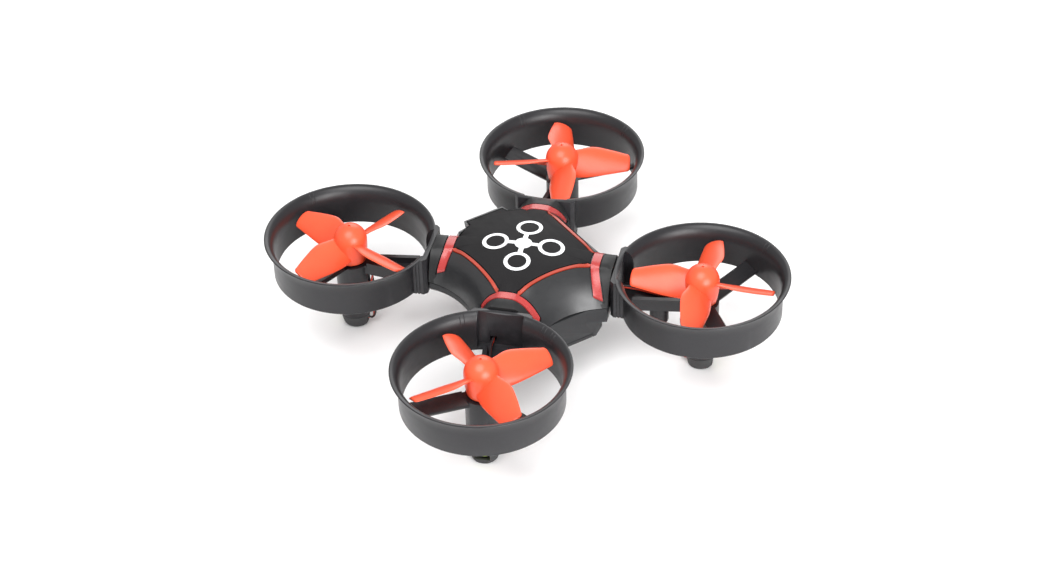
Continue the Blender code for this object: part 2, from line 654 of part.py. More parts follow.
def bore_of_ring():
    """The space inside the ring's wall and flare, out to the middle of their thickness."""
    half = DUCT_WALL / 2
    top = DUCT_BASE_Z + DUCT_HEIGHT
    wall = [(DUCT_RADIUS - half, top - FLARE_HEIGHT), (DUCT_RADIUS - half, DUCT_BASE_Z - 2 * MM)]
    middle = flare(DUCT_RADIUS - half, LIP_RADIUS - half * 0.6, top)
    above = [(0.0, top + 3 * MM), (middle[0][0], top + 3 * MM)]
    return turned(above + middle + wall[1:] + [(0.0, DUCT_BASE_Z - 2 * MM)], 32, closed=False)


def vane(angle, hand):
    """A pitched stator strut from the pod to the ring, in the duct's frame."""
    inner, outer = POD_RADIUS - 0.6 * MM, DUCT_RADIUS - 0.35 * MM
    made = box((inner, -1.9 * MM, -0.5 * MM), (outer, 1.9 * MM, 0.5 * MM))
    pitch = Matrix.Rotation(math.radians(-26 * hand), 4, "X")
    lift = Matrix.Translation((0, 0, DUCT_BASE_Z + 1.4 * MM))
    made.data.transform(Matrix.Rotation(math.radians(angle), 4, "Z") @ lift @ pitch)
    return made


def tapered_strut():
    """The wide strut towards the body, which carries the motor's leads in a channel."""
    low, high = DUCT_BASE_Z - 0.3 * MM, DUCT_BASE_Z + 2.7 * MM
    near, far = -(POD_RADIUS - 0.6 * MM), -(DUCT_RADIUS - 0.35 * MM)
    outline = [(near, -1.7 * MM), (near, 1.7 * MM), (far, 3.7 * MM), (far, -3.7 * MM)]
    return extruded(outline, low, high)


def build_duct(hand):
    """One duct moulding: ring, pod, three struts, bracket and tongue. hand is +1 or -1."""
    base = DUCT_BASE_Z
    lead_y = hand * LEAD_OFFSET
    pocket_back = -(DUCT_RADIUS + 0.55 * MM)
    bracket = extruded([(x * MM, y * MM) for x, y in BRACKET_OUTLINE], base - 0.1 * MM, base + 9.15 * MM)
    tongue_tip = -(ARM_AXIS_REACH - 14.9 * MM)
    tongue = box((tongue_tip, -4.0 * MM, base + 0.45 * MM),
                 (-(DUCT_RADIUS + 1.0 * MM), 4.0 * MM, base + 2.65 * MM))
    pod = cylinder(POD_RADIUS, POD_LOW, POD_HIGH, segments=20)
    bore = cylinder(MOTOR_RADIUS + 0.05 * MM, POD_LOW - 1 * MM, MOTOR_LOW + MOTOR_LENGTH + 0.05 * MM, segments=20)
    neck = cylinder(1.4 * MM, POD_LOW, POD_HIGH + 1 * MM, segments=12)
    boss = cylinder(2.1 * MM, base - 4.9 * MM, base + 1.0 * MM, (-9.4 * MM, 0.0), 12)
    pocket = box((pocket_back, -5.0 * MM, base + 0.7 * MM), (-(DUCT_RADIUS - 2.6 * MM), 5.0 * MM, base + 12 * MM))
    channel = extruded([(-4.6 * MM, -0.9 * MM), (-4.6 * MM, 0.9 * MM), (-16.0 * MM, 2.5 * MM),
                        (-16.0 * MM, -2.5 * MM)], base + 1.2 * MM, base + 4 * MM)
    window = box((tongue_tip - 1 * MM, lead_y - 0.75 * MM, base + 1.2 * MM),
                 (-15.5 * MM, lead_y + 0.75 * MM, base + 2.75 * MM))
    screw_x = -(ARM_AXIS_REACH - SCREW_REACH)
    screw_hole = cylinder(0.85 * MM, base - 1 * MM, base + 4 * MM, (screw_x, hand * SCREW_OFFSET), 12)
    core = bore_of_ring()
    slot = box((-6.3 * MM, -0.8 * MM, POD_LOW - 1 * MM), (-MOTOR_RADIUS + 0.6 * MM, 0.8 * MM, base + 1.25 * MM))
    hub_room = cylinder(4.3 * MM, POD_HIGH, base + 6 * MM, segments=20)
    inside_bracket = combined(bracket, ("DIFFERENCE", core))
    return combined(
        ring(), ("UNION", inside_bracket), ("UNION", tongue), ("UNION", tapered_strut()), ("UNION", vane(60, hand)),
        ("UNION", vane(-60, hand)), ("UNION", boss), ("UNION", pod), ("DIFFERENCE", bore), ("DIFFERENCE", neck),
        ("DIFFERENCE", pocket), ("DIFFERENCE", channel), ("DIFFERENCE", window), ("DIFFERENCE", screw_hole),
        ("DIFFERENCE", slot), ("DIFFERENCE", hub_room))


# Rotor ------------------------------------------------------------------------------------------
BLADE_Z = DUCT_BASE_Z + 6.3 * MM
HUB_LOW, HUB_DOME_Z = DUCT_BASE_Z + 2.3 * MM, DUCT_BASE_Z + 7.6 * MM
# Along the blade: (radius, trailing edge, leading edge, pitch in degrees, thickness), millimetres
BLADE_STATIONS = ((2.6, -3.4, 2.8, 46, 1.0), (5.0, -3.6, 3.3, 41, 0.8), (8.0, -3.5, 3.9, 34, 0.65),
                  (11.5, -3.05, 3.2, 30, 0.55), (15.2, -2.5, 2.1, 26, 0.45), (15.8, -1.9, 1.4, 25, 0.4))
CHORD_POINTS = (-0.5, 0.0, 0.5)


def blade():
    """One blade along +X, leading edge at +Y and up, as a loft through pitched, cambered sections."""
    bm = bmesh.new()
    rows = []
    for radius, trailing, leading, pitch, thick in BLADE_STATIONS:
        a = math.radians(pitch)
        chord = leading - trailing
        upper, lower = [], []
        for share in CHORD_POINTS:
            camber = 0.07 * chord * (1 - 4 * share * share)
            half = thick / 2 * (0.45 + 0.55 * (1 - 4 * share * share))
            for side, row in ((half, upper), (-half, lower)):
                along, rise = (leading + trailing) / 2 + share * chord, camber + side
                y = along * math.cos(a) - rise * math.sin(a)
                z = along * math.sin(a) + rise * math.cos(a)
                x = math.sqrt(max(radius * radius - y * y, (radius * 0.8) ** 2))
                row.append(bm.verts.new((x * MM, y * MM, BLADE_Z + z * MM)))
        rows.append(upper + lower[::-1])
    count = len(rows[0])
    for a, b in zip(rows, rows[1:]):
        for i in range(count):
            j = (i + 1) % count
            bm.faces.new((a[i], a[j], b[j], b[i]))
    bm.faces.new(rows[0])
    bm.faces.new(rows[-1])
    bmesh.ops.triangulate(bm, faces=[f for f in bm.faces if len(f.verts) > 4])
    return object_of_bmesh(bm, "blade")


def hub():
    dome = [(HUB_RADIUS * math.sin(math.radians(a)), HUB_DOME_Z + HUB_RADIUS * math.cos(math.radians(a)))
            for a in (0, 23, 46, 68, 90)]
    skirt = [(HUB_RADIUS * 0.985, HUB_DOME_Z - 2.2 * MM), (3.2 * MM, HUB_LOW),
             (2.4 * MM, HUB_LOW), (2.4 * MM, HUB_LOW + 1.4 * MM),
             (SHAFT_RADIUS + 0.04 * MM, HUB_LOW + 1.4 * MM), (SHAFT_RADIUS + 0.04 * MM, HUB_DOME_Z + 1.6 * MM),
             (0.0, HUB_DOME_Z + 1.6 * MM)]
    return turned(dome + skirt, 18, closed=False)


def build_rotor(hand):
    steps = []
    for i in range(BLADES):
        made = blade()
        made.data.transform(Matrix.Rotation(math.radians(360 / BLADES * i), 4, "Z"))
        steps.append(("UNION", made))
    rotor = combined(hub(), *steps, solver="MANIFOLD")
    if hand < 0:
        rotor.data.transform(Matrix.Diagonal((1.0, -1.0, 1.0, 1.0)))
        rotor.data.flip_normals()
    return rotor


# Motor and foot ---------------------------------------------------------------------------------
def build_motor_can():
    """The can, with the boss on its top that holds the shaft's bush."""
    top = MOTOR_LOW + MOTOR_LENGTH
    can = [(0.45 * MM, top + 0.5 * MM), (1.1 * MM, top + 0.5 * MM), (1.1 * MM, top), (MOTOR_RADIUS - 0.3 * MM, top),
           (MOTOR_RADIUS, top - 0.3 * MM), (MOTOR_RADIUS, MOTOR_LOW + 0.9 * MM),
           (0.45 * MM, MOTOR_LOW + 0.9 * MM)]
    return turned(can, 20)


def build_end_cap():
    cap = [(0.0, MOTOR_LOW + 0.75 * MM), (MOTOR_RADIUS - 0.1 * MM, MOTOR_LOW + 0.75 * MM),
           (MOTOR_RADIUS - 0.1 * MM, MOTOR_LOW - 0.1 * MM), (MOTOR_RADIUS - 0.7 * MM, MOTOR_LOW - 0.5 * MM),
           (MOTOR_RADIUS - 0.95 * MM, MOTOR_LOW - 1.3 * MM), (0.0, MOTOR_LOW - 1.3 * MM)]
    return turned(cap, 16, closed=False)


def build_foot():
    """A cup pushed over the pod's mouth, open towards the body for the leads, with a window outwards."""
    profile = [(POD_RADIUS, 3.05 * MM), (POD_RADIUS, 2.2 * MM), (2.95 * MM, 0.55 * MM), (2.5 * MM, 0.0), (0.0, 0.0),
               (0.0, 0.8 * MM), (1.9 * MM, 0.8 * MM), (2.3 * MM, 1.8 * MM), (2.45 * MM, 2.3 * MM),
               (3.0 * MM, 2.65 * MM), (3.0 * MM, 3.05 * MM)]
    cup = turned(profile, 18)
    window = box((1.2 * MM, -1.75 * MM, 1.15 * MM), (5 * MM, 1.75 * MM, 2.3 * MM))
    gate = box((-5 * MM, -0.8 * MM, 1.0 * MM), (-1.4 * MM, 0.8 * MM, 4 * MM))
    flats = [box((side * FOOT_FLAT - 2 * MM * (side < 0), -5 * MM, -1 * MM),
                 (side * FOOT_FLAT + 2 * MM * (side > 0), 5 * MM, 2.1 * MM)) for side in (-1, 1)]
    return combined(cup, ("DIFFERENCE", window), ("DIFFERENCE", gate), *[("DIFFERENCE", flat) for flat in flats])


def build_lead(hand):
    """A twisted pair from the motor's foot, up the pod, through the strut's channel, to the board's corner."""
    base = DUCT_BASE_Z
    y = hand * LEAD_OFFSET
    end_x = -(ARM_AXIS_REACH - 12.2 * MM)
    route = [(-2.3, 0.0, 1.62), (-3.1, 0.0, 1.85), (-4.0, 0.0, 3.0), (-4.35, 0.0, 5.5), (-4.35, 0.0, 9.5),
             (-4.4, 0.0, 12.6)]
    route = [Vector(p) * MM for p in route]
    route += [Vector((-4.75 * MM, 0.0, base + 0.3 * MM)), Vector((-6.2 * MM, 0.0, LEAD_Z))]
    route += [Vector((-11.5 * MM, y * 0.6, LEAD_Z)), Vector((-16.0 * MM, y, LEAD_Z)), Vector((-21.0 * MM, y, LEAD_Z)),
              Vector((-24.0 * MM, y, LEAD_Z + 0.1 * MM)), Vector((-25.6 * MM, y, LEAD_Z + 1.6 * MM)),
              Vector((-26.4 * MM, y, BOARD_HIGH + 0.6 * MM)), Vector((end_x, y, BOARD_HIGH + 0.65 * MM))]
    return tube(route, LEAD_RADIUS)


def build_screw():
    low = DUCT_BASE_Z - 0.7 * MM
    profile = [(0.0, low + 7.4 * MM), (0.55 * MM, low + 7.0 * MM), (0.55 * MM, low - 0.05 * MM),
               (1.25 * MM, low - 0.05 * MM), (1.1 * MM, low - 0.85 * MM), (0.0, low - 0.95 * MM)]
    screw = turned(profile, 10, closed=False)
    bars = [box((-0.75 * MM, -0.14 * MM, low - 2 * MM), (0.75 * MM, 0.14 * MM, low - 0.45 * MM)),
            box((-0.14 * MM, -0.75 * MM, low - 2 * MM), (0.14 * MM, 0.75 * MM, low - 0.45 * MM))]
    return combined(screw, *[("DIFFERENCE", bar) for bar in bars])


def one_each(builder, material):
    made = finish(builder, "master", material)
    mesh = made.data
    bpy.data.objects.remove(made)
    return mesh


def make_rotor_units():
    ducts = {hand: one_each(build_duct(hand), "duct_black") for hand in (1, -1)}
    rotors = {hand: one_each(build_rotor(hand), "prop_orange") for hand in (1, -1)}
    leads = {hand: one_each(build_lead(hand), "lead_red") for hand in (1, -1)}
    can, cap = one_each(build_motor_can(), "steel"), one_each(build_end_cap(), "cap_lime")
    foot, screw = one_each(build_foot(), "rubber"), one_each(build_screw(), "steel")
    shaft = one_each(cylinder(SHAFT_RADIUS, MOTOR_LOW + 2.0 * MM, HUB_DOME_Z + 1.5 * MM, segments=12), "steel")
    for arm, (direction, hand, blade_angle) in ARMS.items():
        here = arm_matrix(direction)
        spun = Matrix.Translation(here.translation) @ Matrix.Rotation(math.radians(blade_angle), 4, "Z")
        placed_copy(ducts[hand], f"duct_{arm}", here)
        placed_copy(rotors[hand], f"propeller_{arm}", spun)
        placed_copy(shaft, f"motor_shaft_{arm}", spun)
        placed_copy(can, f"motor_can_{arm}", here)
        placed_copy(cap, f"motor_end_cap_{arm}", here)
        placed_copy(foot, f"foot_{arm}", here)
        placed_copy(leads[hand], f"motor_lead_{arm}", here)
        at = on_arm(direction, SCREW_REACH, hand * SCREW_OFFSET)
        placed_copy(screw, f"arm_screw_{arm}", Matrix.Translation(at))


clear_scene()
PARTS = collection("mini_palm_drone")
make_upper_shell()
make_trim()
make_lower_shell()
make_hatch()
make_power_switch()
make_board()
make_battery()
make_rotor_units()
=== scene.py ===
"""Looks of the mini palm drone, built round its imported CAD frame.

Lengths are in metres, written as millimetres times MM. Each duct piece is made once in its own frame,
with the rotor's axis as Z and +X pointing away from the body, and then set at each arm.
"""

import json
from math import asin, cos, exp, hypot, log1p, pi, radians, sin, sqrt

import bmesh
import bpy
from mathutils import Matrix, Vector


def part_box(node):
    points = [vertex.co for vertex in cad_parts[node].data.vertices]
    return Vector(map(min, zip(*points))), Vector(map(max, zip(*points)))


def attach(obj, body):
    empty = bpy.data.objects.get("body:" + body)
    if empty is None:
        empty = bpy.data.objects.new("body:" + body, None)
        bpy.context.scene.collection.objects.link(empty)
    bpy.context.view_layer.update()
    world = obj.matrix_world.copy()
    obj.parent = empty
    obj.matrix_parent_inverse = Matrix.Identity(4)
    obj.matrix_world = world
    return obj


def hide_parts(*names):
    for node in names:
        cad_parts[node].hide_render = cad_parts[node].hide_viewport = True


MM = 0.001


def mm(*values):
    """Lengths in millimetres, as metres."""
    return tuple(value * MM for value in values)


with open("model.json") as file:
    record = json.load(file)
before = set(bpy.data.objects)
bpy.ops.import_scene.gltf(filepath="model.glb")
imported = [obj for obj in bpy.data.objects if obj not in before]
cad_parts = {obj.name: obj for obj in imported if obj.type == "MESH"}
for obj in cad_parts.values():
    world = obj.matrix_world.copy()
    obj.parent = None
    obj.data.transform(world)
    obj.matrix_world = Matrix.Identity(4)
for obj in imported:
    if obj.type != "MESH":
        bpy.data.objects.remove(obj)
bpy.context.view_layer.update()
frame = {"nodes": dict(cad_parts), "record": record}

# ---- Places that come from the frame
ARMS = {
    "front_left": (135, -1),
    "front_right": (45, 1),
    "rear_left": (225, 1),
    "rear_right": (315, -1),
}
BLADE_ANGLES = {"front_left": 16, "front_right": 57, "rear_left": -6, "rear_right": 44}


def middle(node):
    low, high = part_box(node)
    return (low + high) / 2


AXES = {arm: middle(f"motor_shaft_{arm}") for arm in ARMS}
ARM_AXIS_REACH = hypot(AXES["front_right"].x, AXES["front_right"].y)
LIP_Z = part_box("duct_front_right")[1].z
BASE = LIP_Z - 9.2 * MM  # bottom edge of the duct walls
PARTING_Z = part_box("upper_shell")[0].z

# ---- Driving dimensions
DUCT_RADIUS, DUCT_WALL, LIP_RADIUS, FLARE = mm(17.5, 0.7, 19.1, 3.6)
POD_RADIUS, POD_LOW, POD_HIGH = 3.75 * MM, 3.2 * MM, BASE + 1.9 * MM
FOOT_FLAT = 2.65 * MM  # how far out the foot's two flat sides stand
MOTOR_LOW, MOTOR_LENGTH, MOTOR_RADIUS = mm(3.2, 13.4, 3.0)
HUB_RADIUS, HUB_LOW, HUB_DOME_Z = 3.75 * MM, BASE + 2.3 * MM, BASE + 7.6 * MM
BLADE_Z = BASE + 6.3 * MM
HUB_BORE = 0.44  # radius in millimetres
LEAD_OFFSET, LEAD_Z = -1.9 * MM, BASE + 1.9 * MM

ARM_REACH, ARM_TOP_HALF = mm(20.2, 2.65)
SIDE_BASE_HALF, FRONT_BASE_HALF, REAR_BASE_HALF = mm(6.2, 7.0, 8.0)  # an arm's half widths at its foot
BAND_INNER_REACH = 15.5 * MM
SIDE_TOP_VERTEX, SIDE_BASE_VERTEX = mm(12.35, 15.8)
REAR_TOP_VERTEX, REAR_BASE_VERTEX = mm(11.95, 17.4)
NOSE_Y, NOSE_HALF = mm(17.0, 5.0)
DECK_EDGE_Z, DECK_CROWN = BASE + 10.15 * MM, 1.9 * MM
BAY_Z = BASE - 5.0 * MM
BAY_HALF, BAY_FLOOR_HALF, BAY_REAR_Y, BAY_FRONT_Y = mm(8.6, 7.0, -17.9, 16.4)

DIAGONAL = sqrt(0.5)  # the cosine of the arms' 45 degrees
PIECES = bpy.data.collections.new("looks")
bpy.context.scene.collection.children.link(PIECES)


# ---- Materials
class Paint:
    """A Principled material whose colour, roughness and relief come from procedural nodes."""

    def __init__(self, name, roughness, metallic=0.0, specular=0.5):
        self.material = bpy.data.materials.new(name)
        self.material.use_nodes = True
        self.tree = self.material.node_tree
        self.shader = self.tree.nodes["Principled BSDF"]
        self.shader.inputs["Roughness"].default_value = roughness
        self.shader.inputs["Metallic"].default_value = metallic
        self.shader.inputs["Specular IOR Level"].default_value = specular
        self.place = self.node("ShaderNodeTexCoord").outputs["Object"]

    def node(self, kind, **settings):
        made = self.tree.nodes.new(kind)
        for key, value in settings.items():
            setattr(made, key, value)
        return made

    def link(self, out, socket):
        self.tree.links.new(out, socket)

    def noise(self, size, detail=3.0, roughness=0.55, stretch=(1, 1, 1)):
        """Noise whose features are about size across."""
        mapping = self.node("ShaderNodeMapping")
        mapping.inputs["Scale"].default_value = stretch
        texture = self.node("ShaderNodeTexNoise")
        texture.inputs["Scale"].default_value = 1.0 / size
        texture.inputs["Detail"].default_value = detail
        texture.inputs["Roughness"].default_value = roughness
        self.link(self.place, mapping.inputs["Vector"])
        self.link(mapping.outputs["Vector"], texture.inputs["Vector"])
        return texture.outputs["Fac"]

    def range(self, value, low, high, to_low, to_high):
        made = self.node("ShaderNodeMapRange")
        sockets = ("From Min", "From Max", "To Min", "To Max")
        for socket, number in zip(sockets, (low, high, to_low, to_high)):
            made.inputs[socket].default_value = number
        self.link(value, made.inputs["Value"])
        return made.outputs["Result"]

    def math(self, operation, a, b=None):
        made = self.node("ShaderNodeMath", operation=operation)
        for i, value in enumerate((a, b)):
            if value is None:
                continue
            if isinstance(value, (int, float)):
                made.inputs[i].default_value = value
            else:
                self.link(value, made.inputs[i])
        return made.outputs[0]

    def mix(self, factor, a, b):
        made = self.node("ShaderNodeMix", data_type="RGBA")
        sockets = {s.identifier: s for s in made.inputs}
        for key, value in (("Factor_Float", factor), ("A_Color", a), ("B_Color", b)):
            if isinstance(value, tuple):
                sockets[key].default_value = (*value, 1.0)
            elif isinstance(value, (int, float)):
                sockets[key].default_value = value
            else:
                self.link(value, sockets[key])
        return {s.identifier: s for s in made.outputs}["Result_Color"]

    def color(self, value):
        self.link(value, self.shader.inputs["Base Color"])

    def rough(self, value):
        self.link(value, self.shader.inputs["Roughness"])

    def relief(self, *heights):
        """Bumps from (height output, depth in metres) pairs, one on top of the other."""
        normal = None
        for height, depth in heights:
            bump = self.node("ShaderNodeBump")
            bump.inputs["Strength"].default_value = 1.0
            bump.inputs["Distance"].default_value = depth
            self.link(height, bump.inputs["Height"])
            if normal is not None:
                self.link(normal, bump.inputs["Normal"])
            normal = bump.outputs["Normal"]
        self.link(normal, self.shader.inputs["Normal"])

    def edges(self, low=0.56, high=0.68):
        """1 along worn convex edges, 0 elsewhere."""
        point = self.node("ShaderNodeNewGeometry").outputs["Pointiness"]
        patchy = self.range(self.noise(1.6 * MM), 0.35, 0.65, 0.2, 1.0)
        return self.math("MULTIPLY", self.range(point, low, high, 0.0, 1.0), patchy)


def moulded(name, base, pale, roughness, grain=0.16 * MM, depth=0.003 * MM, wear=0.35, spread=0.12, **more):
    """An injection-moulded plastic: cloudy tone, spark-eroded grain, faint scuffs and rubbed edges."""
    made = Paint(name, roughness, **more)
    cloud = made.noise(7 * MM, detail=4)
    dark = tuple(c * (1 - spread) for c in base)
    light = tuple(c * (1 + spread) for c in base)
    tone = made.mix(made.range(cloud, 0.3, 0.7, 0.0, 1.0), dark, light)
    fleck = made.range(made.noise(0.35 * MM, detail=2), 0.45, 0.75, 0.0, 0.04)
    tone = made.mix(fleck, tone, pale)
    made.color(made.mix(made.math("MULTIPLY", made.edges(), wear), tone, pale))
    scuff = made.noise(2.2 * MM, detail=5, stretch=(1.0, 0.35, 1.6))
    made.rough(made.range(scuff, 0.3, 0.7, roughness - 0.04, roughness + 0.05))
    made.relief((made.noise(grain, detail=2), depth), (made.noise(5 * MM, detail=1), 0.012 * MM))
    return made.material


def metal(name, base, pale, roughness, along=(1, 1, 0.05)):
    made = Paint(name, roughness, metallic=1.0)
    drawn = made.noise(0.25 * MM, detail=3, stretch=along)
    made.color(made.mix(made.range(drawn, 0.3, 0.7, 0.0, 1.0), base, pale))
    made.rough(made.range(drawn, 0.3, 0.7, roughness - 0.06, roughness + 0.12))
    made.relief((drawn, 0.003 * MM))
    return made.material


def board_paint():
    made = Paint("board_green", 0.4)
    weave = made.noise(0.5 * MM, detail=2, stretch=(1, 0.2, 1))
    made.color(made.mix(made.range(weave, 0.35, 0.65, 0, 1), (0.008, 0.085, 0.03), (0.014, 0.13, 0.045)))
    made.rough(made.range(weave, 0.3, 0.7, 0.34, 0.5))
    made.relief((weave, 0.01 * MM))
    return made.material


# (name, base colour, rubbed colour, roughness, other values of moulded)
MOULDED = (
    ("shell_black", (0.016, 0.0162, 0.0175), (0.09, 0.09, 0.10), 0.33,
     dict(wear=0.12, spread=0.08, specular=0.6)),
    ("belly_black", (0.015, 0.0152, 0.0165), (0.08, 0.08, 0.09), 0.42,
     dict(wear=0.12, spread=0.08, specular=0.32)),
    # collar_black: the shell's own black painted darker and duller for the arm ends, as painted shade
    ("collar_black", (0.013, 0.013, 0.0135), (0.07, 0.07, 0.07), 0.46,
     dict(wear=0.1, spread=0.08, specular=0.3)),
    ("duct_black", (0.0125, 0.0119, 0.0137), (0.08, 0.08, 0.09), 0.37,
     dict(wear=0.15, spread=0.08, specular=0.43)),
    ("deck_matte", (0.0095, 0.0088, 0.0096), (0.05, 0.05, 0.05), 0.60,
     dict(grain=0.12 * MM, wear=0.1, spread=0.08, specular=0.15)),
    ("accent_red", (0.37, 0.034, 0.032), (0.60, 0.16, 0.14), 0.26,
     dict(wear=0.2, spread=0.08, specular=0.55)),
    ("accent_line", (0.36, 0.040, 0.020), (0.55, 0.14, 0.09), 0.38, dict(wear=0.2, spread=0.08)),
    ("prop_orange", (0.86, 0.090, 0.034), (0.95, 0.24, 0.15), 0.33,
     dict(depth=0.0015 * MM, wear=0.2, spread=0.05, specular=0.45)),
    ("cap_lime", (0.50, 0.68, 0.07), (0.80, 0.85, 0.35), 0.42, dict(spread=0.08)),
    ("rubber", (0.030, 0.030, 0.031), (0.10, 0.10, 0.10), 0.58, dict(grain=0.22 * MM, depth=0.006 * MM)),
    ("lead_red", (0.62, 0.045, 0.020), (0.85, 0.25, 0.15), 0.36, dict(spread=0.12)),
    ("lead_dark", (0.030, 0.020, 0.022), (0.12, 0.10, 0.10), 0.40, dict(spread=0.12)),
    ("chip_black", (0.014, 0.014, 0.015), (0.08, 0.08, 0.08), 0.55, dict()),
    ("led_clear", (0.84, 0.84, 0.78), (0.95, 0.95, 0.9), 0.18, dict(spread=0.04)),
    ("nylon_white", (0.74, 0.73, 0.68), (0.9, 0.9, 0.86), 0.48, dict(spread=0.05)),
    ("mark_white", (0.86, 0.86, 0.88), (0.98, 0.98, 1.0), 0.40, dict(spread=0.04, wear=0.0)),
)
MATERIALS = {name: moulded(name, *finish, **more) for name, *finish, more in MOULDED}
MATERIALS["cell_silver"] = metal("cell_silver", (0.46, 0.47, 0.50), (0.62, 0.63, 0.66), 0.36,
                                 along=(0.3, 1, 1))
MATERIALS["steel"] = metal("steel", (0.55, 0.55, 0.57), (0.72, 0.72, 0.74), 0.26)
MATERIALS["board_green"] = board_paint()


# ---- Mesh helpers
def object_of(mesh, name="form"):
    made = bpy.data.objects.new(name, mesh)
    PIECES.objects.link(made)
    return made


def object_of_bmesh(bm, name="form", recalculate=True):
    if recalculate:
        bmesh.ops.recalc_face_normals(bm, faces=bm.faces)
    mesh = bpy.data.meshes.new(name)
    bm.to_mesh(mesh)
    bm.free()
    return object_of(mesh, name)


def baked(obj, weld=0.0001 * MM):
    bpy.context.view_layer.update()
    graph = bpy.context.evaluated_depsgraph_get()
    mesh = bpy.data.meshes.new_from_object(obj.evaluated_get(graph))
    bm = bmesh.new()
    bm.from_mesh(mesh)
    bmesh.ops.remove_doubles(bm, verts=bm.verts, dist=weld)
    bm.to_mesh(mesh)
    bm.free()
    made = object_of(mesh, obj.name)
    made.matrix_world = obj.matrix_world.copy()
    bpy.data.objects.remove(obj)
    return made


def combined(base, *steps, solver="EXACT"):
    for operation, other in steps:
        modifier = base.modifiers.new(operation.lower(), "BOOLEAN")
        modifier.operation = operation
        modifier.object = other
        modifier.solver = solver
    made = baked(base)
    for _, other in steps:
        bpy.data.objects.remove(other)
    return made


def bevelled(obj, width, segments=2, degrees=38):
    bevel = obj.modifiers.new("edges", "BEVEL")
    bevel.width = width
    bevel.segments = segments
    bevel.limit_method = "ANGLE"
    bevel.angle_limit = radians(degrees)
    bevel.use_clamp_overlap = True
    bevel.miter_outer = "MITER_ARC"
    return baked(obj)


def finished(obj, name, material, smooth_degrees=32):
    """Names the piece, paints it and shades it smooth up to that angle."""
    obj.name = obj.data.name = name
    obj.data.materials.clear()
    obj.data.materials.append(MATERIALS[material])
    obj.data.shade_smooth()
    obj.data.set_sharp_from_angle(angle=radians(smooth_degrees))
    return obj


def install(obj, body, material, *nodes):
    """The piece rides on a body and stands for these CAD nodes; the material argument is not used."""
    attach(obj, body)
    if nodes:
        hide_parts(*nodes)
    return obj


def copy_at(master, name, matrix):
    made = object_of(master.data.copy(), name)
    made.data.name = name
    made.data.transform(matrix)
    return made


def box(low, high):
    bm = bmesh.new()
    bmesh.ops.create_cube(bm, size=1.0)
    low, high = Vector(low), Vector(high)
    bmesh.ops.transform(bm, verts=bm.verts,
                        matrix=Matrix.Translation((low + high) / 2) @ Matrix.Diagonal((*(high - low), 1.0)))
    return object_of_bmesh(bm)


def cylinder(radius, z_low, z_high, centre=(0.0, 0.0), segments=48):
    bm = bmesh.new()
    bmesh.ops.create_cone(bm, cap_ends=True, segments=segments, radius1=radius, radius2=radius,
                          depth=z_high - z_low)
    bmesh.ops.translate(bm, verts=bm.verts, vec=(centre[0], centre[1], (z_low + z_high) / 2))
    return object_of_bmesh(bm)


def turned(profile, segments, closed=True):
    """A profile of (radius, z) turned about Z; closed joins its ends, and radius 0 closes on the axis."""
    bm = bmesh.new()
    rings = []
    for radius, z in profile:
        if radius < 1e-9:
            rings.append([bm.verts.new((0.0, 0.0, z))])
            continue
        ring = []
        for i in range(segments):
            a = 2 * pi * i / segments
            ring.append(bm.verts.new((radius * cos(a), radius * sin(a), z)))
        rings.append(ring)
    pairs = list(zip(rings, rings[1:])) + ([(rings[-1], rings[0])] if closed else [])
    for a, b in pairs:
        for i in range(segments):
            j = (i + 1) % segments
            if len(a) == 1 and len(b) == 1:
                continue
            if len(a) == 1:
                bm.faces.new((a[0], b[i], b[j]))
            elif len(b) == 1:
                bm.faces.new((a[i], b[0], a[j]))
            else:
                bm.faces.new((a[i], b[i], b[j], a[j]))
    return object_of_bmesh(bm, "turned")


def skinned(bm, rings):
    """Faces between each closed ring of vertices and the next."""
    count = len(rings[0])
    for lower, upper in zip(rings, rings[1:]):
        for i in range(count):
            j = (i + 1) % count
            bm.faces.new((lower[i], lower[j], upper[j], upper[i]))


def extruded(outline, z_low, z_high):
    bm = bmesh.new()
    ends = [[bm.verts.new((x, y, z)) for x, y in outline] for z in (z_low, z_high)]
    skinned(bm, ends)
    for end in ends:
        bm.faces.new(end)
    return object_of_bmesh(bm, "extruded")


def arc(centre, radius, start, end, count):
    """count points on a circle's arc from angle start to end, in degrees."""
    points = []
    for i in range(count):
        a = radians(start + (end - start) * i / (count - 1))
        points.append((centre[0] + radius * cos(a), centre[1] + radius * sin(a)))
    return points


def catmull_rom(p0, p1, p2, p3, t):
    return 0.5 * (2 * p1 + (p2 - p0) * t + (2 * p0 - 5 * p1 + 4 * p2 - p3) * t * t
                  + (3 * p1 - p0 - 3 * p2 + p3) * t * t * t)


def smooth_path(points, per_span=6):
    padded = [points[0], *points, points[-1]]
    path = []
    for near in zip(padded, padded[1:], padded[2:], padded[3:]):
        path += [catmull_rom(*near, i / per_span) for i in range(per_span)]
    return [*path, points[-1]]


def tube(points, radius, resolution=4):
    curve = bpy.data.curves.new("tube", "CURVE")
    curve.dimensions = "3D"
    curve.bevel_depth = radius
    curve.bevel_resolution = resolution
    curve.use_fill_caps = True
    spline = curve.splines.new("POLY")
    spline.points.add(len(points) - 1)
    for point, co in zip(spline.points, points):
        point.co = (*co, 1.0)
    return baked(object_of(curve, "tube"), weld=0.002 * MM)


def cuts(*objects):
    return [("DIFFERENCE", cutter) for cutter in objects]


def unions(*objects):
    return [("UNION", added) for added in objects]


def profile_mm(base, *pairs):
    """(radius, z) pairs in millimetres as metres, with z counted from base."""
    return [(radius * MM, base + z * MM) for radius, z in pairs]


def ramp(value, start, length):
    """The share of length that value lies past start, from 0 to 1."""
    return min(1.0, max(0.0, (value - start) / length))


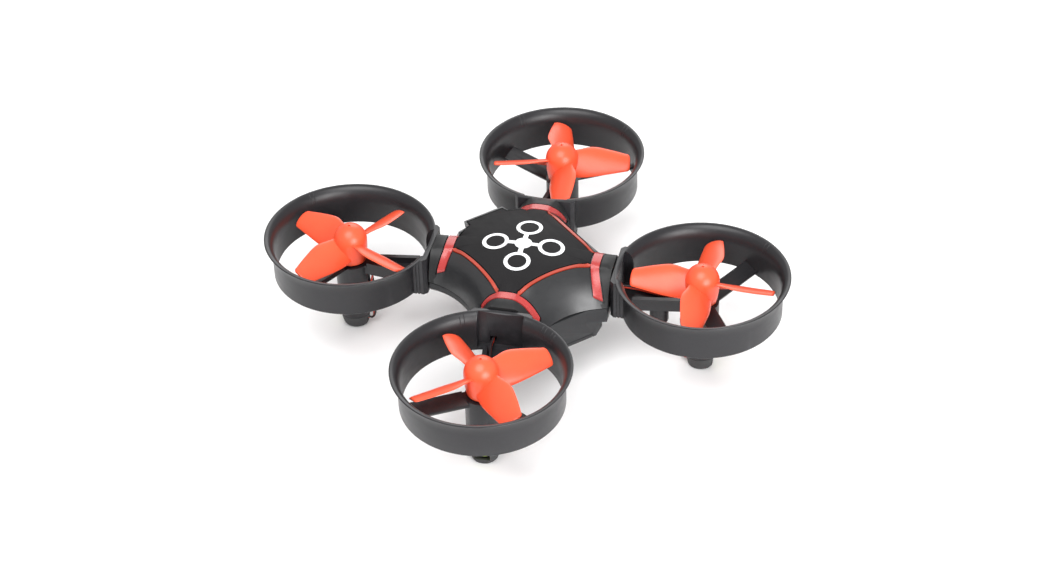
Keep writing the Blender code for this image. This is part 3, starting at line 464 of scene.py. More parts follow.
def reach_across(point):
    """How far out along the nearest arm a point lies, and how far beside that arm's middle."""
    x, y = abs(point.x), abs(point.y)
    return (x + y) * DIAGONAL, abs(x - y) * DIAGONAL


def on_arm(direction, reach, across, z=0.0):
    a = radians(direction)
    c, s = cos(a), sin(a)
    return Vector((reach * c - across * s, reach * s + across * c, z))


def turn_z(degrees):
    return Matrix.Rotation(radians(degrees), 4, "Z")


def arm_matrix(arm):
    axis = AXES[arm]
    return Matrix.Translation((axis.x, axis.y, 0.0)) @ turn_z(ARMS[arm][0])


# ---- Canopy
ARC_POINTS, STRAIGHT_POINTS, SKIRT_ROWS = 29, 6, 10
END_SHARES = (0.8, 0.55, 0.3, 0.0, -0.3, -0.55, -0.8)  # across an arm's end
EDGE_ROUND = 0.75 * MM


def arc_through(end, vertex, count):
    """count points from (x, -y) to (x, y) of end on the circle that also passes (vertex, 0)."""
    end_x, end_y = end
    rise = end_x - vertex
    radius = (end_y * end_y + rise * rise) / (2 * rise)
    swing = asin(end_y / abs(radius))
    centre = vertex + radius
    angles = [swing * (2 * i / (count - 1) - 1) for i in range(count)]
    return [(centre - radius * cos(a), abs(radius) * sin(a)) for a in angles]


def side_top(vertex, nose=False):
    straight = []
    for i in range(STRAIGHT_POINTS):
        d = ARM_REACH + (BAND_INNER_REACH - ARM_REACH) * i / (STRAIGHT_POINTS - 1)
        straight.append(((d + ARM_TOP_HALF) * DIAGONAL, (d - ARM_TOP_HALF) * DIAGONAL))
    x, y = straight[-1]
    if nose:
        flank = [(x, y)] + [(NOSE_Y - back * MM, NOSE_HALF + out * MM)
                            for back, out in ((2.8, 3.1), (2.5, 1.0), (2.3, 0.15), (0.0, 0.0))]
        corner = [(px, -py) for px, py in flank] + flank[::-1]
        inner = resampled(corner, (0, 3, 6, 8, 11, 17, 20, 22, 25, 28))[1:-1]
    else:
        inner = arc_through((x, y), vertex, ARC_POINTS)[1:-1]
    return [(px, -py) for px, py in straight] + inner + straight[::-1]


def resampled(points, stations):
    """Points on the polyline so that its corners come at the given counts."""
    made = []
    for (a, b), (m, n) in zip(zip(points, points[1:]), zip(stations, stations[1:])):
        for i in range(n - m):
            t = i / (n - m)
            made.append((a[0] + (b[0] - a[0]) * t, a[1] + (b[1] - a[1]) * t))
    return [*made, points[-1]]


def side_base(vertex, half_width, reach=ARM_REACH, nose=False):
    end = ((reach + half_width) * DIAGONAL, (reach - half_width) * DIAGONAL)
    rise = end[0] - vertex
    radius = (end[1] ** 2 + rise**2) / (2 * rise)
    swing = asin(end[1] / radius)
    straight = [1.0 - 0.30 * i / (STRAIGHT_POINTS - 1) for i in range(STRAIGHT_POINTS)]
    half = (ARC_POINTS - 1) // 2
    inner = [0.70 * (1 - i / half) for i in range(1, half + 1)]
    if nose:  # each point stands under its own point of the deck's edge
        above = side_top(vertex, True)[STRAIGHT_POINTS - 1:STRAIGHT_POINTS + half]
        inner = [0.70 * y / above[0][1] for _, y in above[1:]]
    shares = straight + inner
    shares = [-s for s in shares] + shares[-2::-1]
    return [(vertex + radius - radius * cos(swing * s), radius * sin(swing * s)) for s in shares]


def turned_side(points, quarter):
    a = radians(90 * quarter)
    return [(x * cos(a) - y * sin(a), x * sin(a) + y * cos(a)) for x, y in points]


# (deck edge vertex, bottom edge vertex, half width of the arms at their foot), from the right side round
FLANK = (SIDE_TOP_VERTEX, SIDE_BASE_VERTEX, SIDE_BASE_HALF)
SIDES = (FLANK, (NOSE_Y, NOSE_Y, FRONT_BASE_HALF), FLANK, (REAR_TOP_VERTEX, REAR_BASE_VERTEX, REAR_BASE_HALF))


def canopy_outlines():
    """(bottom edge, deck edge) as matching closed lists: each side, then the end of the arm after it."""
    base, top = [], []
    for quarter, (top_vertex, base_vertex, half) in enumerate(SIDES):
        base += turned_side(side_base(base_vertex, half, nose=quarter == 1), quarter)
        top += turned_side(side_top(top_vertex, quarter == 1), quarter)
        following = SIDES[(quarter + 1) % 4][2]
        for share in END_SHARES:
            wide = following if share < 0 else half
            base.append(tuple(on_arm(90 * quarter + 45, ARM_REACH, -share * wide)[:2]))
            top.append(tuple(on_arm(90 * quarter + 45, ARM_REACH, -share * ARM_TOP_HALF)[:2]))
    return base, top


def deck_z(x, y):
    corner = BAND_INNER_REACH**2 + ARM_TOP_HALF**2
    nose_drop = 0.4 * MM * max(0.0, (y - 12.5 * MM) / (NOSE_Y - 12.5 * MM))
    side = min(1.0, max(0.0, (8.5 * MM - abs(x)) / (3.0 * MM)))
    return DECK_EDGE_Z + DECK_CROWN * max(0.0, 1 - (x * x + y * y) / corner) - nose_drop * side


def rounded(point, on_deck):
    """The point lowered where an arm's top turns over into its sides, so that the edge is round."""
    reach, across = reach_across(point)
    weight = ramp(reach, 12.0 * MM, 3.5 * MM)
    weight *= weight * (3 - 2 * weight) * min(1.0, max(0.0, (6.5 * MM - across) / (2.5 * MM)))
    deck = deck_z(point.x, point.y)
    flank = deck + 1.5 * (ARM_TOP_HALF - across) if on_deck else point.z
    drop = EDGE_ROUND * weight * log1p(exp(-abs(flank - deck) / EDGE_ROUND))
    return Vector((point.x, point.y, point.z - drop))


def canopy_surface():
    """The canopy's outside: a bulging skirt from the bottom edge up, then the crowned deck."""
    base, top = canopy_outlines()
    count = len(base)
    per_side = count // 4
    last = per_side - len(END_SHARES) - 1
    bm = bmesh.new()
    rings = []
    for row in range(SKIRT_ROWS + 1):
        t = row / SKIRT_ROWS
        ring = []
        for i in range(count):
            low = Vector((*base[i], PARTING_Z + 0.05 * MM))
            high = Vector((*top[i], deck_z(*top[i])))
            quarter, k = divmod(i, per_side)
            facing, bulge = 90 * quarter, 0.4 * MM
            if k == 0:
                facing += 45
            elif k >= last:
                facing -= 45
                bulge *= 1.0 if k == last else END_SHARES[k - last - 1]
            via = low.lerp(high, 0.5)
            via += Vector((cos(radians(facing)), sin(radians(facing)), 0.0)) * bulge
            via.z = low.z + (high.z - low.z) * 0.58
            control = 2 * via - (low + high) / 2
            point = (1 - t) ** 2 * low + 2 * t * (1 - t) * control + t * t * high
            ring.append(bm.verts.new(rounded(point, False)))
        rings.append(ring)
    for share in (0.94, 0.86, 0.76, 0.64, 0.52, 0.40, 0.28, 0.16, 0.07):
        inner = [(x * share, y * share) for x, y in top]
        rings.append([bm.verts.new(rounded(Vector((x, y, deck_z(x, y))), True)) for x, y in inner])
    skinned(bm, rings)
    crown = bm.verts.new((0.0, 0.0, deck_z(0.0, 0.0)))
    for i in range(count):
        bm.faces.new((rings[-1][i], rings[-1][(i + 1) % count], crown))
    bmesh.ops.triangulate(bm, faces=bm.faces)
    return object_of_bmesh(bm, "canopy", recalculate=False)


def layer(low, high):
    made = canopy_surface()
    solidify = made.modifiers.new("layer", "SOLIDIFY")
    solidify.thickness = high - low
    solidify.offset = (high + low) / (high - low)
    solidify.use_even_offset = True
    return baked(made)


LINE_WIDTH, LINE_MARGIN = mm(0.95, 0.12)
SEAM = 0.30 * MM  # the dark gap round the red frame
# Where a leg of the red band ends, (inner reach, outer reach, across) in millimetres, by the side it faces
LEG_SIDE, LEG_FRONT, LEG_REAR = (16.4, 18.5, 5.75), (16.8, 18.9, 6.5), (16.9, 19.3, 7.5)


def leg_edge(shoulder, end, across, count=7):
    """A gently bowed edge of a band's leg, from the shoulder beside the arm's top down to its end."""
    points = []
    for i in range(count):
        t = i / (count - 1)
        c = 2.6 + (across - 2.6) * t
        points.append((shoulder + (end - shoulder) * t**1.35, c))
    return points


def band_outline(first, last):
    """(reach, across) of one arm's band, from its right inner corner round to its left one."""
    right = [(r, -c) for r, c in leg_edge(15.4, first[0], first[2])]
    right += [(r, -c) for r, c in leg_edge(17.5, first[1], first[2])[::-1]]
    left = leg_edge(17.5, last[1], last[2]) + leg_edge(15.4, last[0], last[2])[::-1]
    return right + left


def edge_line(quarter, depth):
    if quarter == 1:
        side = [(NOSE_Y - 2.3 * MM, -NOSE_HALF + 0.1 * MM), (NOSE_Y - 0.6 * MM, -NOSE_HALF + 0.4 * MM)]
        side += [(x, -y) for x, y in side[::-1]]
    else:
        vertex = REAR_TOP_VERTEX if quarter == 3 else SIDE_TOP_VERTEX
        side = arc_through((12.87 * MM - depth, 9.0 * MM), vertex - depth, 25)
    return turned_side(side, quarter)


def frame_outline():
    outline = []
    legs = ((LEG_SIDE, LEG_FRONT), (LEG_FRONT, LEG_SIDE), (LEG_SIDE, LEG_REAR), (LEG_REAR, LEG_SIDE))
    for quarter, (direction, ends) in enumerate(zip((45, 135, 225, 315), legs)):
        outline += edge_line(quarter, LINE_MARGIN)
        outline += [tuple(on_arm(direction, r * MM, c * MM)[:2]) for r, c in band_outline(*ends)]
    return outline


def panel_outline():
    outline = []
    for quarter, direction in enumerate((45, 135, 225, 315)):
        outline += edge_line(quarter, LINE_MARGIN + (0.0 if quarter == 1 else LINE_WIDTH))
        outline += [tuple(on_arm(direction, 15.3 * MM, c * MM)[:2]) for c in (-2.0, 2.0)]
    return outline


def inset(points, distance):
    moved = []
    count = len(points)
    for i, (x, y) in enumerate(points):
        before, here, after = Vector(points[i - 1]), Vector((x, y)), Vector(points[(i + 1) % count])
        first, second = (here - before).normalized(), (after - here).normalized()
        normal = Vector((first.y + second.y, -first.x - second.x)).normalized()
        stretch = max(0.5, normal.dot(Vector((first.y, -first.x))))
        moved.append(tuple(here - normal * distance / stretch))
    return moved


PRISM = (PARTING_Z - 1 * MM, DECK_EDGE_Z + 5 * MM)


def make_canopy():
    shell = layer(-0.75 * MM, 0.0)
    opening = combined(extruded(inset(frame_outline(), -SEAM / 2), *PRISM),
                       ("INTERSECT", layer(-0.42 * MM, 1 * MM)), solver="MANIFOLD")
    below = box((-30 * MM, -30 * MM, PARTING_Z - 3 * MM), (30 * MM, 30 * MM, PARTING_Z + 0.1 * MM))
    shell = combined(shell, *cuts(opening, below), solver="MANIFOLD")
    finished(shell, "canopy_shell", "shell_black")
    # Faces past each red band, on the arm ends, take the darker copy of the shell's black: painted shade on
    # the collars
    shell.data.materials.append(MATERIALS["collar_black"])
    for face in shell.data.polygons:
        reach, across = reach_across(face.center)
        down = ramp(across, 2.6 * MM, 3.9 * MM)
        face.material_index = 1 if reach > (17.5 + 1.4 * down**1.35) * MM else 0
    install(shell, "airframe", "shell_black", "upper_shell")

    inner = inset(panel_outline(), SEAM / 2)
    panel = combined(extruded(inner, *PRISM), ("INTERSECT", layer(-0.25 * MM, 0.02 * MM)), solver="MANIFOLD")
    install(finished(panel, "deck_panel", "deck_matte"), "airframe", "deck_matte", "top_panel")

    red = extruded(inset(frame_outline(), SEAM / 2), *PRISM)
    hole = extruded(inset(panel_outline(), -SEAM / 2), PRISM[0] - 1 * MM, PRISM[1] + 1 * MM)
    nose = box((-7 * MM, 12 * MM, PRISM[0] - 2 * MM), (7 * MM, 20 * MM, PRISM[1] + 2 * MM))
    red = combined(red, *cuts(hole, nose), ("INTERSECT", layer(-0.25 * MM, 0.05 * MM)), solver="MANIFOLD")
    finished(red, "red_frame", "accent_red")
    red.data.materials.append(MATERIALS["accent_line"])
    for face in red.data.polygons:
        face.material_index = 1 if reach_across(face.center)[0] < 15.3 * MM else 0
    install(red, "airframe", "accent_red", "accent_frame")


# ---- Lower shell
def bay_prism(half, floor_half, rear, front, floor, top, chamfer):
    section = [(-half, top), (-half, floor + chamfer), (-floor_half, floor),
               (floor_half, floor), (half, floor + chamfer), (half, top)]
    bm = bmesh.new()
    ends = [[bm.verts.new((x, y, z)) for x, z in section] for y in (rear, front)]
    skinned(bm, ends)
    for end in ends:
        bm.faces.new(end)
    return object_of_bmesh(bm, "bay")


HATCH_HALF, HATCH_FRONT_Y, SWITCH_Y = mm(6.2, 9.4, 13.0)
SCREW_REACH, SCREW_OFFSET = mm(17.4, 1.3)
UNDERCUT = 2.8 * MM  # how far in the tray's underside starts on the left, right and front
BEND_Z = BASE + 1.4 * MM  # where the tray's sides turn in


def tray_plan(inward, undercut):
    """The tray's outline, moved inward on all sides and by undercut more on all but the rear."""
    plan, reach = [], ARM_REACH - inward
    moved = [inward + (0.0 if quarter == 3 else undercut) for quarter in range(4)]
    halves = [half - 1.2 * inward - 0.8 * (more - inward) for more, (_, _, half) in zip(moved, SIDES)]
    for quarter, (_, vertex, _) in enumerate(SIDES):
        plan += turned_side(side_base(vertex - moved[quarter], halves[quarter], reach), quarter)
        for share in END_SHARES:
            wide = halves[(quarter + 1) % 4] if share < 0 else halves[quarter]
            plan.append(tuple(on_arm(90 * quarter + 45, reach, -share * wide)[:2]))
    return plan


def tray_body(shrink, low, bend, high):
    """The tray under the canopy: upright sides down to bend, then turning in to its underside."""
    outer, under = tray_plan(0.1 * MM + shrink, 0.0), tray_plan(0.1 * MM + shrink, UNDERCUT)
    rows = [[Vector((*point, low)) for point in under]]
    for t in (0.35, 0.7, 0.9):
        sag = Vector((0.0, 0.0, -1.0 * MM * t * (1 - t)))
        rows.append([Vector((*u, low)).lerp(Vector((*o, bend)), t) + sag for u, o in zip(under, outer)])
    rows += [[Vector((*point, z)) for point in outer] for z in (bend, high)]
    bm = bmesh.new()
    rings = [[bm.verts.new(point) for point in row] for row in rows]
    skinned(bm, rings)
    bm.faces.new(rings[0])
    bm.faces.new(rings[-1])
    bmesh.ops.triangulate(bm, faces=bm.faces)
    return object_of_bmesh(bm, "tray")


def make_lower_shell():
    tray_z, rim_z = BASE - 0.7 * MM, PARTING_Z - 0.15 * MM
    tray = tray_body(0.0, tray_z, BEND_Z, rim_z)
    outer = bay_prism(BAY_HALF, BAY_FLOOR_HALF, BAY_REAR_Y, BAY_FRONT_Y, BAY_Z, rim_z, 2.0 * MM)
    hollow = tray_body(1.0 * MM, tray_z + 1.0 * MM, BEND_Z + 0.5 * MM, rim_z + 1 * MM)
    bay = bay_prism(BAY_HALF - 1 * MM, BAY_FLOOR_HALF - 0.4 * MM, BAY_REAR_Y + 1 * MM, BAY_FRONT_Y - 1 * MM,
                    BAY_Z + 1.15 * MM, rim_z + 1 * MM, 1.6 * MM)
    hatch_cut = box((-HATCH_HALF, BAY_REAR_Y - 1 * MM, BAY_Z - 1 * MM),
                    (HATCH_HALF, HATCH_FRONT_Y, BAY_Z + 1 * MM))
    mouth = box((-HATCH_HALF + 0.5 * MM, BAY_REAR_Y + 1.6 * MM, BAY_Z - 1 * MM),
                (HATCH_HALF - 0.5 * MM, HATCH_FRONT_Y - 0.8 * MM, BAY_Z + 3 * MM))
    slot = box((-2.3 * MM, SWITCH_Y - 0.75 * MM, BAY_Z - 1 * MM),
               (2.3 * MM, SWITCH_Y + 0.75 * MM, BAY_Z + 2 * MM))
    steps = unions(outer) + cuts(hollow, bay, hatch_cut, mouth, slot)
    for direction, hand in ARMS.values():
        gate = box((ARM_REACH - 5.6 * MM, -4.15 * MM, tray_z + 1.0 * MM),
                   (ARM_REACH + 2 * MM, 4.15 * MM, rim_z + 1 * MM))
        gate.data.transform(turn_z(direction))
        at = on_arm(direction, SCREW_REACH, hand * SCREW_OFFSET)
        hole = cylinder(0.75 * MM, tray_z - 1 * MM, tray_z + 2 * MM, at[:2], 32)
        steps += cuts(gate, hole)
    shell = bevelled(combined(tray, *steps, solver="MANIFOLD"), 0.22 * MM, 2, 40)
    install(finished(shell, "belly_shell", "belly_black"), "airframe", "shell_black", "lower_shell")


def make_hatch():
    gap = 0.15 * MM
    panel = box((-HATCH_HALF + gap, BAY_REAR_Y, BAY_Z),
                (HATCH_HALF - gap, HATCH_FRONT_Y - gap, BAY_Z + 0.85 * MM))
    grips = [box((-3.0 * MM, BAY_REAR_Y + y * MM, BAY_Z - 0.4 * MM),
                 (3.0 * MM, BAY_REAR_Y + (y + 0.6) * MM, BAY_Z + 0.3 * MM)) for y in (2.0, 3.4, 4.8)]
    hatch = bevelled(combined(panel, *unions(*grips)), 0.12 * MM, 3)
    install(finished(hatch, "hatch_panel", "belly_black"), "hatch", "shell_black", "battery_hatch")


# ---- Duct
INNER_RIM, BORE_RADIUS = LIP_RADIUS - 0.27 * MM, DUCT_RADIUS - DUCT_WALL


def flare_curve(rim, wall, drop=0.0, count=11, start=0.0, end=1.0):
    """(radius, z) from the rim at the lip round to the wall below it, or a share of that quarter turn."""
    points = []
    for i in range(count):
        a = pi / 2 * (start + (end - start) * i / (count - 1))
        points.append((rim - (rim - wall) * sin(a), LIP_Z - drop - FLARE * (1 - cos(a))))
    return points


def ring():
    outer = flare_curve(LIP_RADIUS, DUCT_RADIUS, 0.12 * MM)
    inner = flare_curve(INNER_RIM, BORE_RADIUS)
    foot = [(DUCT_RADIUS, BASE + 0.15 * MM), (DUCT_RADIUS - 0.15 * MM, BASE),
            (BORE_RADIUS + 0.15 * MM, BASE), (BORE_RADIUS, BASE + 0.15 * MM)]
    rim = [(LIP_RADIUS - 0.2 * MM, LIP_Z), (LIP_RADIUS - 0.06 * MM, LIP_Z - 0.03 * MM)]
    return turned(outer + foot + inner[::-1] + rim, 144)


def bore_of_ring():
    """The space inside the ring's wall and flare, out to the middle of their thickness."""
    wall, rim, top, low = DUCT_RADIUS - DUCT_WALL / 2, LIP_RADIUS - 0.2 * MM, LIP_Z + 3 * MM, BASE - 2 * MM
    profile = [(0.0, top), (rim, top), *flare_curve(rim, wall), (wall, low), (0.0, low)]
    return turned(profile, 144, closed=False)


# Plan of the bracket that meets the arm, (outwards, across) in millimetres
BRACKET_OUTLINE = ((-19.1, -6.0), (-19.1, 6.0), (-18.3, 6.8), (-15.9, 6.8), (-15.9, -6.8), (-18.3, -6.8))


def vane(angle, hand):
    made = box((POD_RADIUS - 0.6 * MM, -1.9 * MM, -0.5 * MM), (DUCT_RADIUS - 0.35 * MM, 1.9 * MM, 0.5 * MM))
    made = bevelled(made, 0.3 * MM, 3, 60)
    pitch = Matrix.Rotation(radians(-26 * hand), 4, "X")
    made.data.transform(turn_z(angle)
                        @ Matrix.Translation((0, 0, BASE + 1.4 * MM)) @ pitch)
    return made


def build_duct(hand):
    lead_y = hand * LEAD_OFFSET
    bracket = extruded([mm(x, y) for x, y in BRACKET_OUTLINE], BASE - 0.1 * MM, BASE + 9.15 * MM)
    grooves = [box((x * MM, side * 6.8 * MM - 0.22 * MM, BASE - 1 * MM),
                   ((x + 0.3) * MM, side * 6.8 * MM + 0.22 * MM, BASE + 8.3 * MM))
               for side in (-1, 1) for x in (-17.7, -17.0)]
    bracket = combined(bracket, *cuts(bore_of_ring(), *grooves))
    tip = -(ARM_AXIS_REACH - 14.9 * MM)
    tongue = box((tip, -4.0 * MM, BASE + 0.45 * MM), (-(DUCT_RADIUS + 1.0 * MM), 4.0 * MM, BASE + 2.65 * MM))
    near, far = -(POD_RADIUS - 0.6 * MM), -(DUCT_RADIUS - 0.35 * MM)
    strut = extruded([(near, -1.7 * MM), (near, 1.7 * MM), (far, 3.7 * MM), (far, -3.7 * MM)],
                     BASE - 0.3 * MM, BASE + 2.7 * MM)
    boss_end = arc((1.2 * MM, BASE - 4.0 * MM), 0.9 * MM, 0, -90, 7) + [(0.0, BASE - 4.9 * MM)]
    boss = turned(profile_mm(BASE, (0.0, 1.0), (2.1, 1.0), (2.1, -3.9)) + boss_end, 48, closed=False)
    boss.data.transform(Matrix.Translation((-9.4 * MM, 0.0, 0.0)))
    pod = turned([(0.0, POD_LOW), (POD_RADIUS - 0.3 * MM, POD_LOW), (POD_RADIUS, POD_LOW + 1.2 * MM),
                  (POD_RADIUS, POD_HIGH), (0.0, POD_HIGH)], 64, closed=False)
    pocket = box((-(DUCT_RADIUS + 0.55 * MM), -5.0 * MM, BASE + 0.7 * MM),
                 (-(DUCT_RADIUS - 2.6 * MM), 5.0 * MM, BASE + 12 * MM))
    channel = extruded([mm(-4.6, -0.9), mm(-4.6, 0.9), mm(-16.0, 2.5), mm(-16.0, -2.5)],
                       BASE + 1.2 * MM, BASE + 4 * MM)
    window = box((tip - 1 * MM, lead_y - 0.75 * MM, BASE + 1.2 * MM),
                 (-15.5 * MM, lead_y + 0.75 * MM, BASE + 2.75 * MM))
    screw_hole = cylinder(0.85 * MM, BASE - 1 * MM, BASE + 4 * MM,
                          (SCREW_REACH - ARM_AXIS_REACH, hand * SCREW_OFFSET))
    slot = box((-6.3 * MM, -0.8 * MM, POD_LOW - 1 * MM),
               (-MOTOR_RADIUS + 0.6 * MM, 0.8 * MM, BASE + 1.25 * MM))
    bore = cylinder(MOTOR_RADIUS + 0.05 * MM, POD_LOW - 1 * MM, MOTOR_LOW + MOTOR_LENGTH + 0.05 * MM,
                    segments=64)
    neck = cylinder(1.4 * MM, POD_LOW, POD_HIGH + 1 * MM)
    hub_room = cylinder(4.3 * MM, POD_HIGH, BASE + 6 * MM, segments=64)
    steps = unions(bracket, tongue, strut, vane(60, hand), vane(-60, hand), boss, pod)
    steps += cuts(bore, neck, pocket, channel, window, screw_hole, slot, hub_room)
    return bevelled(combined(ring(), *steps), 0.10 * MM, 2, 42)


# Plan directions, from +X, of the pairs of small moulding ribs in each bell mouth
RIBS = {"rear_right": (3,), "front_left": (90,), "front_right": (89, 1.4), "rear_left": (72, 11, 2)}


def make_ribs():
    curve = flare_curve(INNER_RIM + 0.03 * MM, BORE_RADIUS + 0.03 * MM, 0.0, 9, 0.12, 0.74)
    for arm, directions in RIBS.items():
        bm = bmesh.new()
        for turn in (direction + side for direction in directions for side in (-1.5, 1.5)):
            a = radians(turn)
            rib = tube([Vector((radius * cos(a), radius * sin(a), z)) for radius, z in curve],
                       0.10 * MM, 2)
            bm.from_mesh(rib.data)
            bpy.data.objects.remove(rib)
        ribs = finished(object_of_bmesh(bm, "ribs"), f"moulding_ribs_{arm}", "duct_black")
        ribs.data.transform(Matrix.Translation((AXES[arm].x, AXES[arm].y, 0.0)))
        install(ribs, "airframe", "duct_black")


# ---- Rotor
# Along the blade: (radius, trailing edge, leading edge, pitch in degrees, thickness), millimetres
BLADE_STATIONS = ((2.6, -3.4, 2.8, 46, 1.0), (5.0, -3.6, 3.3, 41, 0.8), (8.0, -3.5, 3.9, 34, 0.65),
                  (11.5, -3.05, 3.2, 30, 0.55), (15.0, -2.55, 2.15, 26, 0.45))
BLADE_ROOT, BLADE_CORNER, BLADE_TIP = 2.6, 15.0, 15.8  # the corner is where the tip starts to round


def spline_value(stations, radius, column):
    """A Catmull-Rom value of one column of stations at a radius."""
    count = len(stations)
    for k in range(count - 1):
        if radius <= stations[k + 1][0] or k == count - 2:
            break
    t = (radius - stations[k][0]) / (stations[k + 1][0] - stations[k][0])
    p1, p2 = stations[k][column], stations[k + 1][column]
    p0 = stations[k - 1][column] if k else 2 * p1 - p2
    p3 = stations[k + 2][column] if k + 2 < count else 2 * p2 - p1
    return catmull_rom(p0, p1, p2, p3, t)


def blade():
    """One blade along +X, leading edge at +Y and up, with rounded edges and a trimmed, rounded tip."""
    bm = bmesh.new()
    chord_steps = 12
    radii = [BLADE_ROOT + (BLADE_CORNER - BLADE_ROOT) * i / 22 for i in range(23)]
    radii += [15.2, 15.4, 15.56, 15.69, 15.77, BLADE_TIP]
    rows = []
    for radius in radii:
        trailing, leading, pitch, thick = [spline_value(BLADE_STATIONS, min(radius, BLADE_CORNER), column)
                                           for column in (1, 2, 3, 4)]
        pitch = radians(pitch)
        corner = max(0.0, (radius - BLADE_CORNER) / (BLADE_TIP - BLADE_CORNER))
        corner = 1 - sqrt(max(0.0, 1 - corner * corner))
        trailing, leading = trailing + 0.7 * corner, leading - 0.9 * corner
        chord = leading - trailing
        thick *= 1 - 0.6 * corner**3
        row = []
        for side in (1, -1):
            shares = [cos(pi * i / chord_steps) / 2 for i in range(chord_steps + 1)]
            if side < 0:
                shares = shares[::-1][1:-1]
            for share in shares:
                camber = 0.07 * chord * (1 - 4 * share * share)
                half = thick / 2 * sqrt(max(0.0, 1 - (2 * abs(share)) ** 3))
                along, rise = (leading + trailing) / 2 + share * chord, camber + side * half
                y = along * cos(pitch) - rise * sin(pitch)
                z = along * sin(pitch) + rise * cos(pitch)
                x = sqrt(max(radius * radius - y * y, (radius * 0.8) ** 2))
                row.append(bm.verts.new((x * MM, y * MM, BLADE_Z + z * MM)))
        rows.append(row)
    skinned(bm, rows)
    bm.faces.new(rows[0])
    bm.faces.new(rows[-1])
    bmesh.ops.triangulate(bm, faces=[f for f in bm.faces if len(f.verts) > 4])
    return object_of_bmesh(bm, "blade")


def build_rotor(hand):
    dome = [(0.0, HUB_DOME_Z + HUB_RADIUS - 0.4 * MM), (0.26 * MM, HUB_DOME_Z + HUB_RADIUS - 0.4 * MM)]
    dome += [(HUB_RADIUS * sin(radians(a)), HUB_DOME_Z + HUB_RADIUS * cos(radians(a)))
             for a in (4.5, *range(10, 91, 5))]
    skirt = [(HUB_RADIUS * (1 - 0.15 * t**2.2), HUB_DOME_Z - (HUB_DOME_Z - HUB_LOW - 0.15 * MM) * t)
             for t in (0.15, 0.3, 0.45, 0.6, 0.75, 0.9, 1.0)]
    inside = profile_mm(HUB_LOW, (3.0, 0.0), (2.45, 0.0), (2.4, 0.1), (2.4, 1.4), (HUB_BORE, 1.4))
    inside += profile_mm(HUB_DOME_Z, (HUB_BORE, 1.6), (0.0, 1.6))
    steps = []
    for i in range(4):
        made = blade()
        made.data.transform(turn_z(90 * i))
        steps.append(("UNION", made))
    rotor = combined(turned(dome + skirt + inside, 72, closed=False), *steps, solver="MANIFOLD")
    if hand < 0:
        rotor.data.transform(Matrix.Diagonal((1.0, -1.0, 1.0, 1.0)))
        rotor.data.flip_normals()
    return rotor


# ---- Motor, foot, leads and screws
def build_motor_can():
    top = MOTOR_LOW + MOTOR_LENGTH
    low = MOTOR_LOW + 0.9 * MM
    shoulder = arc((MOTOR_RADIUS - 0.4 * MM, top - 0.4 * MM), 0.4 * MM, 90, 0, 6)
    groove = MOTOR_RADIUS - 0.08 * MM
    bottom = [(MOTOR_RADIUS, low + 0.7 * MM), (groove, low + 0.6 * MM), (groove, low + 0.45 * MM),
              (MOTOR_RADIUS, low + 0.35 * MM), (MOTOR_RADIUS, low), (0.45 * MM, low)]
    return turned(profile_mm(top, (0.45, 0.5), (1.0, 0.5), (1.1, 0.4), (1.1, 0.0)) + shoulder + bottom, 64)


def build_end_cap():
    top = MOTOR_LOW + 0.75 * MM
    outside = [(MOTOR_RADIUS - 0.1 * MM, top), (MOTOR_RADIUS - 0.1 * MM, MOTOR_LOW)]
    outside += arc((MOTOR_RADIUS - 0.45 * MM, MOTOR_LOW - 0.7 * MM), 0.30 * MM, 0, -70, 5)
    outside += [(MOTOR_RADIUS - 0.7 * MM, MOTOR_LOW - 1.15 * MM),
                (MOTOR_RADIUS - 0.85 * MM, MOTOR_LOW - 1.3 * MM)]
    return turned([(0.0, top)] + outside + [(0.0, MOTOR_LOW - 1.3 * MM)], 48, closed=False)


def build_foot():
    outside = ((3.4, 3.05), (3.36, 2.3), (3.25, 1.7), (3.05, 1.0), (2.9, 0.5), (2.72, 0.22), (2.5, 0.06),
               (2.3, 0.0), (0.0, 0.0))
    inside = ((0.0, 0.8), (1.9, 0.8), (2.3, 1.8), (3.05, 2.12), (3.05, 3.05))
    cup = turned(profile_mm(0.0, *outside, *inside), 64)
    window = box(mm(1.2, -1.75, 1.15), mm(5, 1.75, 3.3))
    gate = box(mm(-5, -0.8, 1.0), mm(-1.4, 0.8, 4))
    flats = [box((side * FOOT_FLAT - 2 * MM * (side < 0), -5 * MM, -1 * MM),
                 (side * FOOT_FLAT + 2 * MM * (side > 0), 5 * MM, 2.1 * MM)) for side in (-1, 1)]
    return bevelled(combined(cup, *cuts(window, gate, *flats)), 0.14 * MM, 3, 42)


def lead_route(hand):
    """The lead's way from the motor's lower end up beside the pod and along the strut to the board."""
    y, high = hand * LEAD_OFFSET, PARTING_Z + 1.7 * MM
    # (x in millimetres, share of the sideways offset, z)
    stations = [(x, 0.0, z * MM) for x, z in ((-2.3, 1.55), (-2.9, 1.45), (-3.8, 1.55), (-4.35, 3.2),
                                              (-4.35, 9.5), (-4.4, 12.6))]
    stations += [(-4.75, 0.0, BASE + 0.3 * MM), (-6.2, 0.0, LEAD_Z), (-11.5, 0.6, LEAD_Z),
                 (-16.0, 1.0, LEAD_Z), (-21.0, 1.0, LEAD_Z), (-24.0, 1.0, LEAD_Z + 0.1 * MM),
                 (-25.6, 1.0, LEAD_Z + 1.6 * MM), (-26.4, 1.0, high)]
    route = [Vector((x * MM, y * share, z)) for x, share, z in stations]
    return smooth_path([*route, Vector((12.2 * MM - ARM_AXIS_REACH, y, high + 0.05 * MM))], 8)


PAIR_TWIST_LENGTH, PAIR_TURNS, PAIR_OFFSET = 15 * MM, 2.0, 0.235 * MM


